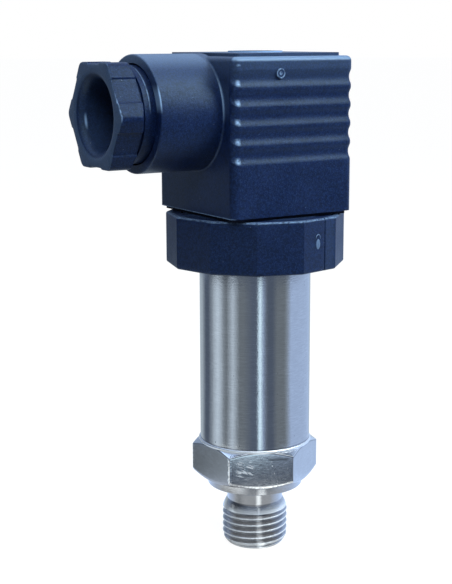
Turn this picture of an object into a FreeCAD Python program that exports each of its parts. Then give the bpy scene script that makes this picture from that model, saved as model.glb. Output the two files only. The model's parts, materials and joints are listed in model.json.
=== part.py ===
import FreeCAD, Part
import math
import operator
import os
from types import SimpleNamespace

import Sketcher
from FreeCAD import Placement, Rotation, Vector

# Pressure transmitter with an angle plug, in millimetres. The origin is the centre of the
# sealing face under the process connection's flange, on the axis of the tube. +Z runs up
# the tube, the cable gland points along -X and the plug's front grip face looks along -Y.

# Driving dimensions. Heights are measured from the sealing face, and a "gap" is the
# clearance between two pieces all round.
DIMENSIONS = {
    # How far a feature runs into its piece, and a cut past the outside of it
    "overlap": 0.5,
    # Process connection: G 1/4 stud with undercut, sealing flange and hexagon
    "thread_diameter": 13.157,
    "stud_length": 12.7,
    "stud_tip_diameter": 10.8,
    "stud_tip_length": 2.3,
    "neck_diameter": 11.2,
    "neck_length": 3.3,
    "neck_flank": 2.1,
    "neck_flank_radius": 6.0,
    "port_diameter": 4.0,
    "flange_diameter": 19.0,
    "flange_height": 2.0,
    "hexagon_width": 22.0,
    "hexagon_height": 7.35,
    "hexagon_turn": 33.6,
    "hexagon_chamfer_diameter": 21.9,
    "cup_height": 3.2,
    "cell_floor": 3.5,
    # Measuring cell, its seal and its clamping ring
    "cell_diameter": 14.8,
    "cell_gap": 0.1,
    "cell_thickness": 5.0,
    "cell_recess_diameter": 8.0,
    "cell_recess_depth": 0.3,
    "cell_seal_diameter": 11.4,
    "cell_seal_section": 1.4,
    "seal_groove_width": 2.0,
    "seal_slack": 0.01,
    "lock_ring_bore": 11.0,
    "lock_ring_height": 3.0,
    "lock_ring_slot_width": 1.2,
    "lock_ring_slot_depth": 1.0,
    # Tube with its outward collar
    "tube_diameter": 22.0,
    "tube_wall": 1.0,
    "weld_width": 0.35,
    "collar_inset": 0.2,
    "collar_height": 2.0,
    # Board, its carrier and the wires
    "carrier_bore": 10.0,
    "carrier_gap": 0.15,
    "carrier_thickness": 2.0,
    "carrier_slot_depth": 1.3,
    "rail_height": 15.5,
    "rail_width": 3.4,
    "rail_reach": 9.0,
    "rail_overlap": 1.0,
    "board_width": 16.0,
    "board_headroom": 4.15,
    "board_thickness": 1.6,
    "board_gap": 0.05,
    "chip_width": 6.0,
    "chip_height": 7.0,
    "chip_thickness": 1.5,
    "small_chip_width": 3.2,
    "small_chip_height": 2.0,
    "small_chip_thickness": 1.0,
    "small_chip_offset": 4.1,
    "small_chip_pitch": 6.0,
    "sensor_wire_diameter": 0.6,
    "sensor_wire_pitch": 2.0,
    "sensor_wire_length": 9.5,
    "lead_diameter": 0.8,
    "lead_drop": 1.1,
    "lead_side_reach": 6.4,
    "lead_foot_length": 2.4,
    "lead_slope_height": 3.4,
    # Moulded union ring with twelve flats
    "ring_width": 35.0,
    "ring_wall": 2.4,
    "ring_turn": 28.35,
    "ring_height": 10.1,
    "ring_lip_height": 2.0,
    "ring_bore_gap": 0.35,
    "ring_thread_gap": 0.3,
    "ring_edge": 0.35,
    "slip_washer_height": 0.8,
    "slip_washer_gap": 0.3,
    # Connector base with its blades
    "header_height": 5.4,
    "spigot_height": 4.0,
    "spigot_gap": 0.1,
    "collar_seal_section": 1.5,
    "collar_groove_width": 1.8,
    "tube_height": 50.2,
    "pin_radius": 9.0,
    "blade_width": 6.3,
    "blade_thickness": 0.8,
    "blade_height": 10.4,
    "earth_blade_extra": 2.0,
    "blade_root": 3.4,
    "blade_chamfer": 0.3,
    "pin_tail_width": 2.4,
    "pin_tail_length": 1.7,
    "insert_diameter": 5.2,
    "insert_length": 5.0,
    "insert_relief": 1.0,
    "gasket_thickness": 0.6,
    "gasket_width": 2.9,
    "gasket_inset": 0.9,
    # Plug cover
    "cover_left": 13.75,
    "cover_right": 13.3,
    "cover_half_depth": 13.85,
    "cover_height": 29.35,
    "cover_wall": 1.6,
    "cover_roof": 2.0,
    "cover_corner": 1.4,
    "cavity_corner": 0.6,
    "cover_top_edge": 1.0,
    "pad_inset": 1.8,
    "pad_height": 0.6,
    "pad_corner": 1.0,
    "boss_diameter": 10.5,
    "boss_height": 0.28,
    "pillar_diameter": 9.6,
    "pillar_height": 6.0,
    "recess_diameter": 6.6,
    "recess_depth": 5.6,
    # Grip waves on the cover
    "wave_pitch": 3.51,
    "wave_depth": 0.39,
    "wave_crest_width": 1.4,
    "wave_crest_trim": 0.01,
    "wave_top_drop": 2.15,
    "wave_run_out": 0.6,
    # Cable sleeve of the cover, and the gland inside it
    "gland_height": 75.15,
    "sleeve_diameter": 21.8,
    "sleeve_reach": 26.8,
    "sleeve_wall": 1.6,
    "sleeve_floor": 0.5,
    "sleeve_edge": 0.3,
    "sleeve_root_fillet": 0.4,
    "cable_hole_diameter": 11.0,
    "gland_seal_length": 6.5,
    "gland_seal_bore": 7.0,
    "gland_seal_gap": 0.1,
    "gland_washer_thickness": 0.8,
    "gland_washer_bore": 9.6,
    "gland_gap": 0.3,
    "gland_collar_step": 0.1,
    "gland_collar_height": 1.1,
    "gland_stand_off": 1.2,
    "gland_neck_length": 0.5,
    "nut_width": 19.1,
    "nut_length": 5.1,
    "nut_bore": 13.1,
    "nut_turn": 30.0,
    "nut_corner": 1.5,
    "nut_chamfer_diameter": 19.5,
    "nut_step_depth": 0.15,
    "nut_step_width": 4.8,
    "nut_rim": 0.4,
    # Terminal carrier, terminals and screws in the plug
    "carrier_block_height": 14.0,
    "carrier_block_lift": 0.8,
    "carrier_block_gap": 0.2,
    "carrier_block_corner": 1.5,
    "carrier_block_hole": 3.9,
    "terminal_width": 7.7,
    "terminal_thickness": 3.0,
    "terminal_height": 13.0,
    "terminal_gap": 0.05,
    "blade_gap": 0.3,
    "cage_width": 6.6,
    "cage_depth": 4.5,
    "cage_height": 5.0,
    "cage_wire_width": 3.6,
    "cage_wire_height": 2.6,
    "clamp_screw_diameter": 3.0,
    "clamp_screw_head": 4.4,
    "clamp_screw_head_height": 1.6,
    "clamp_screw_length": 3.6,
    "clamp_screw_slot": 0.8,
    "screw_diameter": 3.0,
    "screw_gap": 0.3,
    "screw_length": 30.8,
    "screw_edge": 0.3,
    "screw_head_diameter": 5.5,
    "screw_head_height": 2.4,
    "screw_slot_width": 0.8,
    "screw_slot_depth": 1.2,
    "screw_seal_thickness": 0.9,
    "screw_seal_diameter": 5.8,
}

HEXAGON_SIDES = 6
RING_SIDES = 12
WAVE_COUNT = 5
CHAMFER_ANGLE = 30.0
# The share of a wire's shorter leg that its bend takes
BEND_SHARE = 0.45
# The middle two wires of a row stand half a pitch off the centre, the outer two one and a half
WIRE_STEPS = (-1.5, -0.5, 0.5, 1.5)
# Two lengths nearer than this are the same
NEAR = 1e-4

OPERATIONS = {
    "+": operator.add,
    "-": operator.sub,
    "*": operator.mul,
    "/": operator.truediv,
}

doc = FreeCAD.newDocument("PressureTransmitter")
sheet = doc.addObject("Spreadsheet::Sheet", "Sizes")
for row, (alias, number) in enumerate(DIMENSIONS.items(), start=1):
    sheet.set(f"A{row}", alias)
    sheet.set(f"B{row}", str(number))
    sheet.setAlias(f"B{row}", alias)
doc.recompute()


class Size:
    """A size that keeps its formula over the sheet beside its present value."""

    def __init__(self, formula, value):
        self.formula = formula
        self.value = value

    def __add__(self, other):
        return combined(self, "+", other)

    def __radd__(self, other):
        return combined(other, "+", self)

    def __sub__(self, other):
        return combined(self, "-", other)

    def __rsub__(self, other):
        return combined(other, "-", self)

    def __mul__(self, other):
        return combined(self, "*", other)

    def __rmul__(self, other):
        return combined(other, "*", self)

    def __truediv__(self, other):
        return combined(self, "/", other)

    def __neg__(self):
        return combined(0, "-", self)


def as_size(number):
    """A plain number as a Size; a Size stays as it is."""
    if isinstance(number, Size):
        return number
    return Size(f"({float(number):.6f})", float(number))


def combined(left, sign, right):
    left = as_size(left)
    right = as_size(right)
    value = OPERATIONS[sign](left.value, right.value)
    return Size(f"({left.formula} {sign} {right.formula})", value)


def turned_by(radius, degrees):
    """The x and y of a point at a radius, turned from +X towards +Y."""
    radius = as_size(radius)
    degrees = as_size(degrees)
    angle = math.radians(degrees.value)
    x = Size(f"({radius.formula} * cos({degrees.formula}))", radius.value * math.cos(angle))
    y = Size(f"({radius.formula} * sin({degrees.formula}))", radius.value * math.sin(angle))
    return x, y


# Every driving dimension by name, as a Size bound to its cell
size = SimpleNamespace(**{
    alias: Size(f"Sizes.{alias}", float(sheet.get(alias))) for alias in DIMENSIONS
})

# Levels that several pieces share
hexagon_top = size.flange_height + size.hexagon_height
cup_top = hexagon_top + size.cup_height
cell_top = size.cell_floor + size.cell_thickness
tube_inside = size.tube_diameter / 2 - size.tube_wall
ring_flat = size.ring_width / 2 * math.cos(math.pi / RING_SIDES)
ring_thread = ring_flat - size.ring_wall
header_radius = ring_thread - size.ring_thread_gap
collar_radius = header_radius - size.collar_inset
collar_seal_middle = (tube_inside + header_radius) / 2
collar_bottom = size.tube_height - size.collar_height
washer_bottom = collar_bottom - size.slip_washer_height
ring_bottom = washer_bottom - size.ring_lip_height
header_top = size.tube_height + size.header_height
spigot_bottom = size.tube_height - size.spigot_height
cover_bottom = header_top + size.gasket_thickness
cover_top = cover_bottom + size.cover_height
pad_top = cover_top + size.pad_height
boss_top = pad_top + size.boss_height
recess_floor = boss_top - size.recess_depth
carrier_top = cup_top + size.carrier_thickness
board_bottom = carrier_top - size.carrier_slot_depth
board_top = spigot_bottom - size.board_headroom
board_length = board_top - board_bottom
block_bottom = cover_bottom + size.carrier_block_lift
block_top = block_bottom + size.carrier_block_height
sleeve_bore = size.sleeve_diameter / 2 - size.sleeve_wall
sleeve_seat = size.cover_left + size.sleeve_floor
gland_washer_start = sleeve_seat + size.gland_seal_length
gland_nut_start = gland_washer_start + size.gland_washer_thickness
gland_collar_start = size.sleeve_reach + size.gland_stand_off
gland_collar_end = gland_collar_start + size.gland_collar_height
nut_hexagon_start = gland_collar_end + size.gland_neck_length
nut_reach = nut_hexagon_start + size.nut_length

nodes = []


def bind(target, path, amount):
    """Bind one property of an object to a size."""
    target.setExpression(path, as_size(amount).formula)


def new_body(label):
    body = doc.addObject("PartDesign::Body", label)
    body.Label = label
    nodes.append(body)
    return body


def origin_feature(body, role):
    return next(item for item in body.Origin.OriginFeatures if item.Role == role)


def new_sketch(body, plane, offset=None):
    """A sketch on one of the body's origin planes, lifted along its normal."""
    sketch = body.newObject("Sketcher::SketchObject", f"{body.Name}_sketch")
    sketch.AttachmentSupport = [(origin_feature(body, plane), "")]
    sketch.MapMode = "FlatFace"
    if offset is not None:
        sketch.AttachmentOffset = Placement(Vector(0, 0, as_size(offset).value), Rotation())
        bind(sketch, "AttachmentOffset.Base.z", offset)
    return sketch


def hold_point(sketch, geometry, end, x, y):
    """Fix one end of a line or arc, or a centre, at bound coordinates."""
    for kind, amount in (("DistanceX", x), ("DistanceY", y)):
        amount = as_size(amount)
        number = sketch.addConstraint(Sketcher.Constraint(kind, geometry, end, amount.value))
        bind(sketch, f"Constraints[{number}]", amount)


def arc_between(start, end, radius, turn):
    """An arc from start to end that bends left for turn 1 and right for turn -1."""
    chord = end - start
    half = chord.Length / 2
    rise = math.sqrt(max(radius * radius - half * half, 0.0))
    side = Vector(-chord.y, chord.x, 0).normalize() * turn
    centre = start + chord / 2 + side * rise
    first, last = (start, end) if turn > 0 else (end, start)
    angles = [math.atan2(point.y - centre.y, point.x - centre.x) for point in (first, last)]
    return Part.ArcOfCircle(Part.Circle(centre, Vector(0, 0, 1), radius), *angles)


def add_outline(sketch, corners, closed=True):
    """Lines and arcs through corners. A corner is (x, y), or (x, y, radius, turn) when an
    arc leads to it from the corner before."""
    points = [Vector(as_size(c[0]).value, as_size(c[1]).value, 0) for c in corners]
    pieces = []
    for index in range(0 if closed else 1, len(corners)):
        corner = corners[index]
        start = points[index - 1]
        end = points[index]
        if len(corner) == 2:
            number = sketch.addGeometry(Part.LineSegment(start, end), False)
            pieces.append((number, 1, 2, corner))
        else:
            radius = as_size(corner[2])
            turn = corner[3]
            arc = arc_between(start, end, radius.value, turn)
            number = sketch.addGeometry(arc, False)
            pieces.append((number, 1 if turn > 0 else 2, 2 if turn > 0 else 1, corner))
            held = sketch.addConstraint(Sketcher.Constraint("Radius", number, radius.value))
            bind(sketch, f"Constraints[{held}]", radius)
    for index, (number, first, last, corner) in enumerate(pieces):
        if index + 1 < len(pieces) or closed:
            after = pieces[(index + 1) % len(pieces)]
            sketch.addConstraint(
                Sketcher.Constraint("Coincident", number, last, after[0], after[1])
            )
        hold_point(sketch, number, last, corner[0], corner[1])
    if not closed:
        hold_point(sketch, pieces[0][0], pieces[0][1], corners[0][0], corners[0][1])


def add_circle(sketch, x, y, diameter):
    radius = as_size(diameter) / 2
    centre = Vector(as_size(x).value, as_size(y).value, 0)
    number = sketch.addGeometry(Part.Circle(centre, Vector(0, 0, 1), radius.value), False)
    held = sketch.addConstraint(Sketcher.Constraint("Radius", number, radius.value))
    bind(sketch, f"Constraints[{held}]", radius)
    hold_point(sketch, number, 3, x, y)


def rectangle(x_low, x_high, y_low, y_high):
    return [(x_low, y_low), (x_high, y_low), (x_high, y_high), (x_low, y_high)]


def rounded_rectangle(x_low, x_high, y_low, y_high, radius):
    return [
        (x_low + radius, y_low, radius, 1),
        (x_high - radius, y_low),
        (x_high, y_low + radius, radius, 1),
        (x_high, y_high - radius),
        (x_high - radius, y_high, radius, 1),
        (x_low + radius, y_high),
        (x_low, y_high - radius, radius, 1),
        (x_low, y_low + radius),
    ]


def polygon(width_over_corners, sides, first_turn):
    """Corners of a regular polygon, the first at first_turn degrees from +X."""
    step = 360.0 / sides
    return [turned_by(width_over_corners / 2, first_turn + step * k) for k in range(sides)]


def hexagon_corners(width):
    """Width over the corners of a hexagon from its width over the flats."""
    return width / math.cos(math.radians(30))


def solid_volume(body):
    return body.Shape.Volume if body.Shape and not body.Shape.isNull() else 0.0


def finish_feature(body, feature, grows):
    """Recompute a new feature and make sure that it added or removed something."""
    before = solid_volume(body)
    body.Tip = feature
    doc.recompute()
    after = solid_volume(body)
    if (after - before if grows else before - after) < NEAR:
        raise RuntimeError(f"{feature.Label} changes nothing")
    return feature


def revolve(body, corners, cut=False):
    """Turn an outline of (radius, height) corners about the body's Z axis."""
    sketch = new_sketch(body, "XZ_Plane")
    add_outline(sketch, corners)
    kind = "Groove" if cut else "Revolution"
    feature = body.newObject(f"PartDesign::{kind}", f"{body.Name}_{kind.lower()}")
    feature.Profile = sketch
    feature.ReferenceAxis = (sketch, ["V_Axis"])
    feature.Angle = 360.0
    return finish_feature(body, feature, not cut)


def extrude(body, draw, start, length, cut=False, plane="XY_Plane", reverse=False):
    """Pad or pocket what draw() puts in a sketch, from start along the plane's normal."""
    sketch = new_sketch(body, plane, start)
    draw(sketch)
    kind = "Pocket" if cut else "Pad"
    feature = body.newObject(f"PartDesign::{kind}", f"{body.Name}_{kind.lower()}")
    feature.Profile = sketch
    feature.Length = as_size(length).value
    bind(feature, "Length", length)
    feature.Reversed = reverse != cut
    return finish_feature(body, feature, not cut)


def outlines(*loops):
    """A draw function for extrude that adds several closed outlines."""
    def draw(sketch):
        for loop in loops:
            add_outline(sketch, loop)
    return draw


def circles(*rounds):
    """A draw function for extrude that adds circles of (x, y, diameter)."""
    def draw(sketch):
        for x, y, diameter in rounds:
            add_circle(sketch, x, y, diameter)
    return draw


def edges_where(body, wanted):
    """Names of the edges of the body's last feature that wanted(edge) picks."""
    shape = body.Tip.Shape
    return [f"Edge{n}" for n, edge in enumerate(shape.Edges, start=1) if wanted(edge)]


def dress(body, kind, amount, wanted):
    """Fillet or chamfer the edges that wanted(edge) picks."""
    base = body.Tip
    names = edges_where(body, wanted)
    feature = body.newObject(f"PartDesign::{kind}", f"{body.Name}_{kind.lower()}")
    feature.Base = (base, names)
    path = "Radius" if kind == "Fillet" else "Size"
    setattr(feature, path, as_size(amount).value)
    bind(feature, path, amount)
    return finish_feature(body, feature, False)


def at_height(edge, height):
    """Whether the whole edge lies at one height."""
    box = edge.BoundBox
    level = as_size(height).value
    return abs(box.ZMin - level) < NEAR and abs(box.ZMax - level) < NEAR


def at_reach(edge, reach):
    """Whether the whole edge lies this far along -X."""
    box = edge.BoundBox
    level = -as_size(reach).value
    return abs(box.XMin - level) < NEAR and abs(box.XMax - level) < NEAR


def is_circle(edge, diameter):
    """Whether the edge is a round one of this diameter."""
    curve = edge.Curve
    if not isinstance(curve, Part.Circle):
        return False
    return abs(curve.Radius - as_size(diameter).value / 2) < NEAR


def chamfer_prism(body, flat_diameter, far_diameter, level, inward):
    """Turn the chamfer of a nut or bolt head at the face on this level. inward is 1 when
    the metal lies above the face and -1 when it lies below."""
    flat = flat_diameter / 2
    far = far_diameter / 2 + size.overlap
    drop = (far - flat) * math.tan(math.radians(CHAMFER_ANGLE)) * inward
    revolve(body, [(flat, level), (far, level), (far, level + drop)], cut=True)


def on_gland_axis(body):
    """Lay a body turned about Z along the gland's axis, so that its +Z points to -X."""
    turn = Rotation(Vector(0, 1, 0), -90)
    body.Placement = Placement(Vector(0, 0, size.gland_height.value), turn)
    bind(body, "Placement.Base.z", size.gland_height)


def make_process_connection():
    body = new_body("process_connection")
    thread = size.thread_diameter / 2
    neck = size.neck_diameter / 2
    port = size.port_diameter / 2
    cell = size.cell_diameter / 2 + size.cell_gap
    tip = size.stud_tip_diameter / 2
    # The tip is rounded off by an arc that meets the thread's cylinder without a corner
    inset = thread - tip
    tip_arc = (inset * inset + size.stud_tip_length * size.stud_tip_length) / (inset * 2)
    revolve(body, [
        (port, -size.stud_length),
        (tip, -size.stud_length),
        (thread, -size.stud_length + size.stud_tip_length, tip_arc, 1),
        (thread, -size.neck_length - size.neck_flank),
        (neck, -size.neck_length, size.neck_flank_radius, 1),
        (neck, 0),
        (size.flange_diameter / 2, 0),
        (size.flange_diameter / 2, size.flange_height),
        (tube_inside, size.flange_height),
        (tube_inside, cup_top),
        (cell, cup_top),
        (cell, size.cell_floor),
        (port, size.cell_floor),
    ])
    corners = hexagon_corners(size.hexagon_width)
    extrude(
        body,
        lambda sketch: (
            add_outline(sketch, polygon(corners, HEXAGON_SIDES, size.hexagon_turn)),
            add_circle(sketch, 0, 0, (cell + size.overlap) * 2),
        ),
        size.flange_height,
        size.hexagon_height,
    )
    chamfer_prism(body, size.hexagon_chamfer_diameter, corners, hexagon_top, -1)
    chamfer_prism(body, size.hexagon_chamfer_diameter, corners, size.flange_height, 1)
    middle = size.cell_seal_diameter / 2
    half = size.seal_groove_width / 2
    revolve(body, [
        (middle - half, size.cell_floor - size.cell_seal_section),
        (middle + half, size.cell_floor - size.cell_seal_section),
        (middle + half, size.cell_floor),
        (middle - half, size.cell_floor),
    ], cut=True)


def make_round_seal(label, middle_diameter, section, centre_height):
    """A seal ring of round section, with a little slack in its groove."""
    ring = doc.addObject("Part::Torus", label)
    ring.Label = label
    bind(ring, "Radius1", middle_diameter / 2)
    bind(ring, "Radius2", section / 2 - size.seal_slack)
    bind(ring, "Placement.Base.z", centre_height)
    nodes.append(ring)


def make_sensor():
    cell = new_body("sensor_cell")
    radius = size.cell_diameter / 2
    recess = size.cell_recess_diameter / 2
    recess_top = size.cell_floor + size.cell_recess_depth
    revolve(cell, [
        (0, recess_top),
        (recess, recess_top),
        (recess, size.cell_floor),
        (radius, size.cell_floor),
        (radius, cell_top),
        (0, cell_top),
    ])
    make_round_seal(
        "sensor_oring",
        size.cell_seal_diameter,
        size.cell_seal_section,
        size.cell_floor - size.cell_seal_section / 2,
    )
    ring = new_body("sensor_lock_ring")
    ring_top = cell_top + size.lock_ring_height
    revolve(ring, [
        (size.lock_ring_bore / 2, cell_top),
        (radius + size.cell_gap / 2, cell_top),
        (radius + size.cell_gap / 2, ring_top),
        (size.lock_ring_bore / 2, ring_top),
    ])
    slot = size.lock_ring_slot_width / 2
    extrude(
        ring,
        outlines(rectangle(-size.cell_diameter, size.cell_diameter, -slot, slot)),
        ring_top - size.lock_ring_slot_depth,
        size.lock_ring_slot_depth,
        cut=True,
    )


def make_tube():
    body = new_body("body_tube")
    outside = size.tube_diameter / 2
    weld = outside + size.weld_width
    # The weld bead at the foot lies on the hexagon's chamfer
    chamfer_start = size.hexagon_chamfer_diameter / 2
    slope = math.tan(math.radians(CHAMFER_ANGLE))
    revolve(body, [
        (tube_inside, hexagon_top),
        (outside, hexagon_top),
        (outside, hexagon_top - (outside - chamfer_start) * slope),
        (weld, hexagon_top - (weld - chamfer_start) * slope),
        (outside, hexagon_top + size.weld_width),
        (outside, collar_bottom),
        (collar_radius, collar_bottom),
        (collar_radius, size.tube_height),
        (tube_inside, size.tube_height),
    ])


def make_board():
    carrier = new_body("board_carrier")
    disc = tube_inside - size.carrier_gap
    revolve(carrier, [
        (size.carrier_bore / 2, cup_top),
        (disc, cup_top),
        (disc, carrier_top),
        (size.carrier_bore / 2, carrier_top),
    ])
    rail = size.rail_width / 2
    inner = size.board_width / 2 - size.rail_overlap
    extrude(
        carrier,
        outlines(
            rectangle(inner, size.rail_reach, -rail, rail),
            rectangle(-size.rail_reach, -inner, -rail, rail),
        ),
        carrier_top,
        size.rail_height,
    )
    slot_reach = size.board_width / 2 + size.board_gap
    slot = size.board_thickness / 2 + size.board_gap
    extrude(
        carrier,
        outlines(rectangle(-slot_reach, slot_reach, -slot, slot)),
        board_bottom,
        size.carrier_slot_depth + size.rail_height,
        cut=True,
    )
    board = new_body("circuit_board")
    half = size.board_thickness / 2
    extrude(
        board,
        outlines(rectangle(-size.board_width / 2, size.board_width / 2, -half, half)),
        board_bottom,
        board_length,
    )


def make_block(width, depth, height, x, y, z):
    """A plain block by its middle x, its near y and its bottom z."""
    block = doc.addObject("Part::Box", "chip")
    bind(block, "Length", width)
    bind(block, "Width", depth)
    bind(block, "Height", height)
    bind(block, "Placement.Base.x", as_size(x) - as_size(width) / 2)
    bind(block, "Placement.Base.y", y)
    bind(block, "Placement.Base.z", z)
    return block


def make_board_components():
    face = size.board_thickness / 2
    middle = board_bottom + board_length / 2
    small = (size.small_chip_width, size.small_chip_thickness, size.small_chip_height)
    blocks = [
        make_block(
            size.chip_width, size.chip_thickness, size.chip_height,
            0, -face - size.chip_thickness, middle,
        ),
        make_block(
            size.chip_width, size.chip_thickness, size.chip_height,
            0, face, middle - size.chip_height,
        ),
    ]
    for side in (-1, 1):
        x = side * size.small_chip_offset
        for z in (middle, middle - size.small_chip_pitch):
            blocks.append(make_block(*small, x, -face - size.small_chip_thickness, z))
    group = doc.addObject("Part::Compound", "board_components")
    group.Label = "board_components"
    group.Links = blocks
    nodes.append(group)


def make_sensor_leads():
    """Four straight wires from the cell's top up along the board's face."""
    wires = []
    y = size.board_thickness / 2 + size.sensor_wire_diameter / 2
    for step in WIRE_STEPS:
        wire = doc.addObject("Part::Cylinder", "sensor_wire")
        bind(wire, "Radius", size.sensor_wire_diameter / 2)
        bind(wire, "Height", size.sensor_wire_length)
        bind(wire, "Placement.Base.x", size.sensor_wire_pitch * step)
        bind(wire, "Placement.Base.y", y)
        bind(wire, "Placement.Base.z", cell_top)
        wires.append(wire)
    group = doc.addObject("Part::Compound", "sensor_leads")
    group.Label = "sensor_leads"
    group.Links = wires
    nodes.append(group)


def round_wire(points, radius):
    """A round wire along points, bent by tangent arcs at the inner ones."""
    edges = []
    start = points[0]
    for before, corner, after in zip(points, points[1:], points[2:]):
        arriving = (corner - before).normalize()
        leaving = (after - corner).normalize()
        turn = arriving.getAngle(leaving)
        reach = BEND_SHARE * min((corner - before).Length, (after - corner).Length)
        bisector = (leaving - arriving).normalize()
        bend = reach / math.tan(turn / 2)
        inset = bend / math.cos(turn / 2) - bend
        first = corner - arriving * reach
        last = corner + leaving * reach
        edges.append(Part.LineSegment(start, first).toShape())
        edges.append(Part.Arc(first, corner + bisector * inset, last).toShape())
        start = last
    edges.append(Part.LineSegment(start, points[-1]).toShape())
    spine = Part.Wire(edges)
    direction = (points[1] - points[0]).normalize()
    section = Part.Wire([Part.Circle(points[0], direction, radius).toShape()])
    return spine.makePipeShell([section], True, True)


def make_connection_leads():
    """Four short wires from the blades' tails to the board's faces."""
    tail_end = (spigot_bottom - size.pin_tail_length).value
    drop = size.lead_drop.value
    slope = size.lead_slope_height.value
    foot = size.lead_foot_length.value
    radius = size.lead_diameter.value / 2
    reach = size.pin_radius.value
    side = size.lead_side_reach.value
    face = size.board_thickness.value / 2 + radius
    wires = []
    for start, end in (
        ((reach, face), (side, face)),
        ((-reach, face), (-side, face)),
        ((0, reach), (0, face)),
        ((0, -reach), (0, -face)),
    ):
        wires.append(round_wire([
            Vector(*start, tail_end),
            Vector(*start, tail_end - drop),
            Vector(*end, tail_end - drop - slope),
            Vector(*end, tail_end - drop - slope - foot),
        ], radius))
    leads = doc.addObject("Part::Feature", "connection_leads")
    leads.Label = "connection_leads"
    leads.Shape = Part.makeCompound(wires)
    nodes.append(leads)


def make_union_ring():
    ring = new_body("collar_ring")
    bore = size.tube_diameter / 2 + size.ring_bore_gap
    ring_top = ring_bottom + size.ring_height
    extrude(
        ring,
        lambda sketch: (
            add_outline(sketch, polygon(size.ring_width, RING_SIDES, size.ring_turn)),
            add_circle(sketch, 0, 0, bore * 2),
        ),
        ring_bottom,
        size.ring_height,
    )
    revolve(ring, [
        (bore - size.overlap, washer_bottom),
        (ring_thread, washer_bottom),
        (ring_thread, ring_top + size.overlap),
        (bore - size.overlap, ring_top + size.overlap),
    ], cut=True)

    def outer_rim(edge):
        straight = isinstance(edge.Curve, (Part.Line, Part.LineSegment))
        return straight and (at_height(edge, ring_bottom) or at_height(edge, ring_top))

    dress(ring, "Chamfer", size.ring_edge, outer_rim)

    washer = new_body("slip_washer")
    revolve(washer, [
        (bore, washer_bottom),
        (ring_thread - size.slip_washer_gap, washer_bottom),
        (ring_thread - size.slip_washer_gap, collar_bottom),
        (bore, collar_bottom),
    ])


def pin_seats():
    """Each blade's label, place, whether it lies along Y, and its height over the base."""
    reach = size.pin_radius
    return [
        ("contact_pin_1", 0, -reach, False, size.blade_height),
        ("contact_pin_2", 0, reach, False, size.blade_height),
        ("contact_pin_3", reach, 0, True, size.blade_height),
        ("earth_pin", -reach, 0, True, size.blade_height + size.earth_blade_extra),
    ]


def across(x, y, width, thickness, along_y):
    """A rectangle about x, y whose width runs along Y or along X."""
    half_x, half_y = (thickness / 2, width / 2) if along_y else (width / 2, thickness / 2)
    return rectangle(x - half_x, x + half_x, y - half_y, y + half_y)


def make_header():
    body = new_body("header_base")
    spigot = tube_inside - size.spigot_gap
    insert = size.insert_diameter / 2
    screw_hole = size.screw_diameter / 2 + size.screw_gap
    insert_bottom = header_top - size.insert_length
    relief_bottom = insert_bottom - size.insert_relief
    revolve(body, [
        (0, spigot_bottom),
        (spigot, spigot_bottom),
        (spigot, size.tube_height),
        (header_radius, size.tube_height),
        (header_radius, header_top),
        (insert, header_top),
        (insert, insert_bottom),
        (screw_hole, insert_bottom),
        (screw_hole, relief_bottom),
        (0, relief_bottom),
    ])
    middle = collar_seal_middle
    half = size.collar_groove_width / 2
    revolve(body, [
        (middle - half, size.tube_height),
        (middle + half, size.tube_height),
        (middle + half, size.tube_height + size.collar_seal_section),
        (middle - half, size.tube_height + size.collar_seal_section),
    ], cut=True)
    root = header_top - size.blade_root
    blades = []
    tails = []
    for _, x, y, along_y, _ in pin_seats():
        x = as_size(x)
        y = as_size(y)
        blades.append(across(x, y, size.blade_width, size.blade_thickness, along_y))
        tails.append(across(x, y, size.pin_tail_width, size.blade_thickness, along_y))
    extrude(body, outlines(*blades), root, size.blade_root, cut=True)
    extrude(body, outlines(*tails), spigot_bottom, root - spigot_bottom, cut=True)

    insert_body = new_body("thread_insert")
    revolve(insert_body, [
        (screw_hole, insert_bottom),
        (insert, insert_bottom),
        (insert, header_top),
        (screw_hole, header_top),
    ])
    make_round_seal(
        "collar_oring",
        collar_seal_middle * 2,
        size.collar_seal_section,
        size.tube_height + size.collar_seal_section / 2,
    )


def make_pin(label, x, y, along_y, height):
    body = new_body(label)
    x = as_size(x)
    y = as_size(y)
    root = header_top - size.blade_root
    blade = across(x, y, size.blade_width, size.blade_thickness, along_y)
    tail = across(x, y, size.pin_tail_width, size.blade_thickness, along_y)
    tail_length = root - spigot_bottom + size.pin_tail_length
    extrude(body, outlines(blade), root, size.blade_root + height)
    extrude(body, outlines(tail), spigot_bottom - size.pin_tail_length, tail_length)
    dress(body, "Chamfer", size.blade_chamfer, lambda edge: at_height(edge, header_top + height))


def make_gasket():
    """The flat frame under the cover's rim."""
    body = new_body("flat_gasket")
    inset = size.gasket_inset
    left = size.cover_left - inset
    right = size.cover_right - inset
    depth = size.cover_half_depth - inset
    corner = size.cover_corner - inset
    width = size.gasket_width
    extrude(
        body,
        outlines(
            rounded_rectangle(-left, right, -depth, depth, corner),
            rounded_rectangle(
                width - left, right - width, width - depth, depth - width, corner
            ),
        ),
        header_top,
        size.gasket_thickness,
    )


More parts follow.
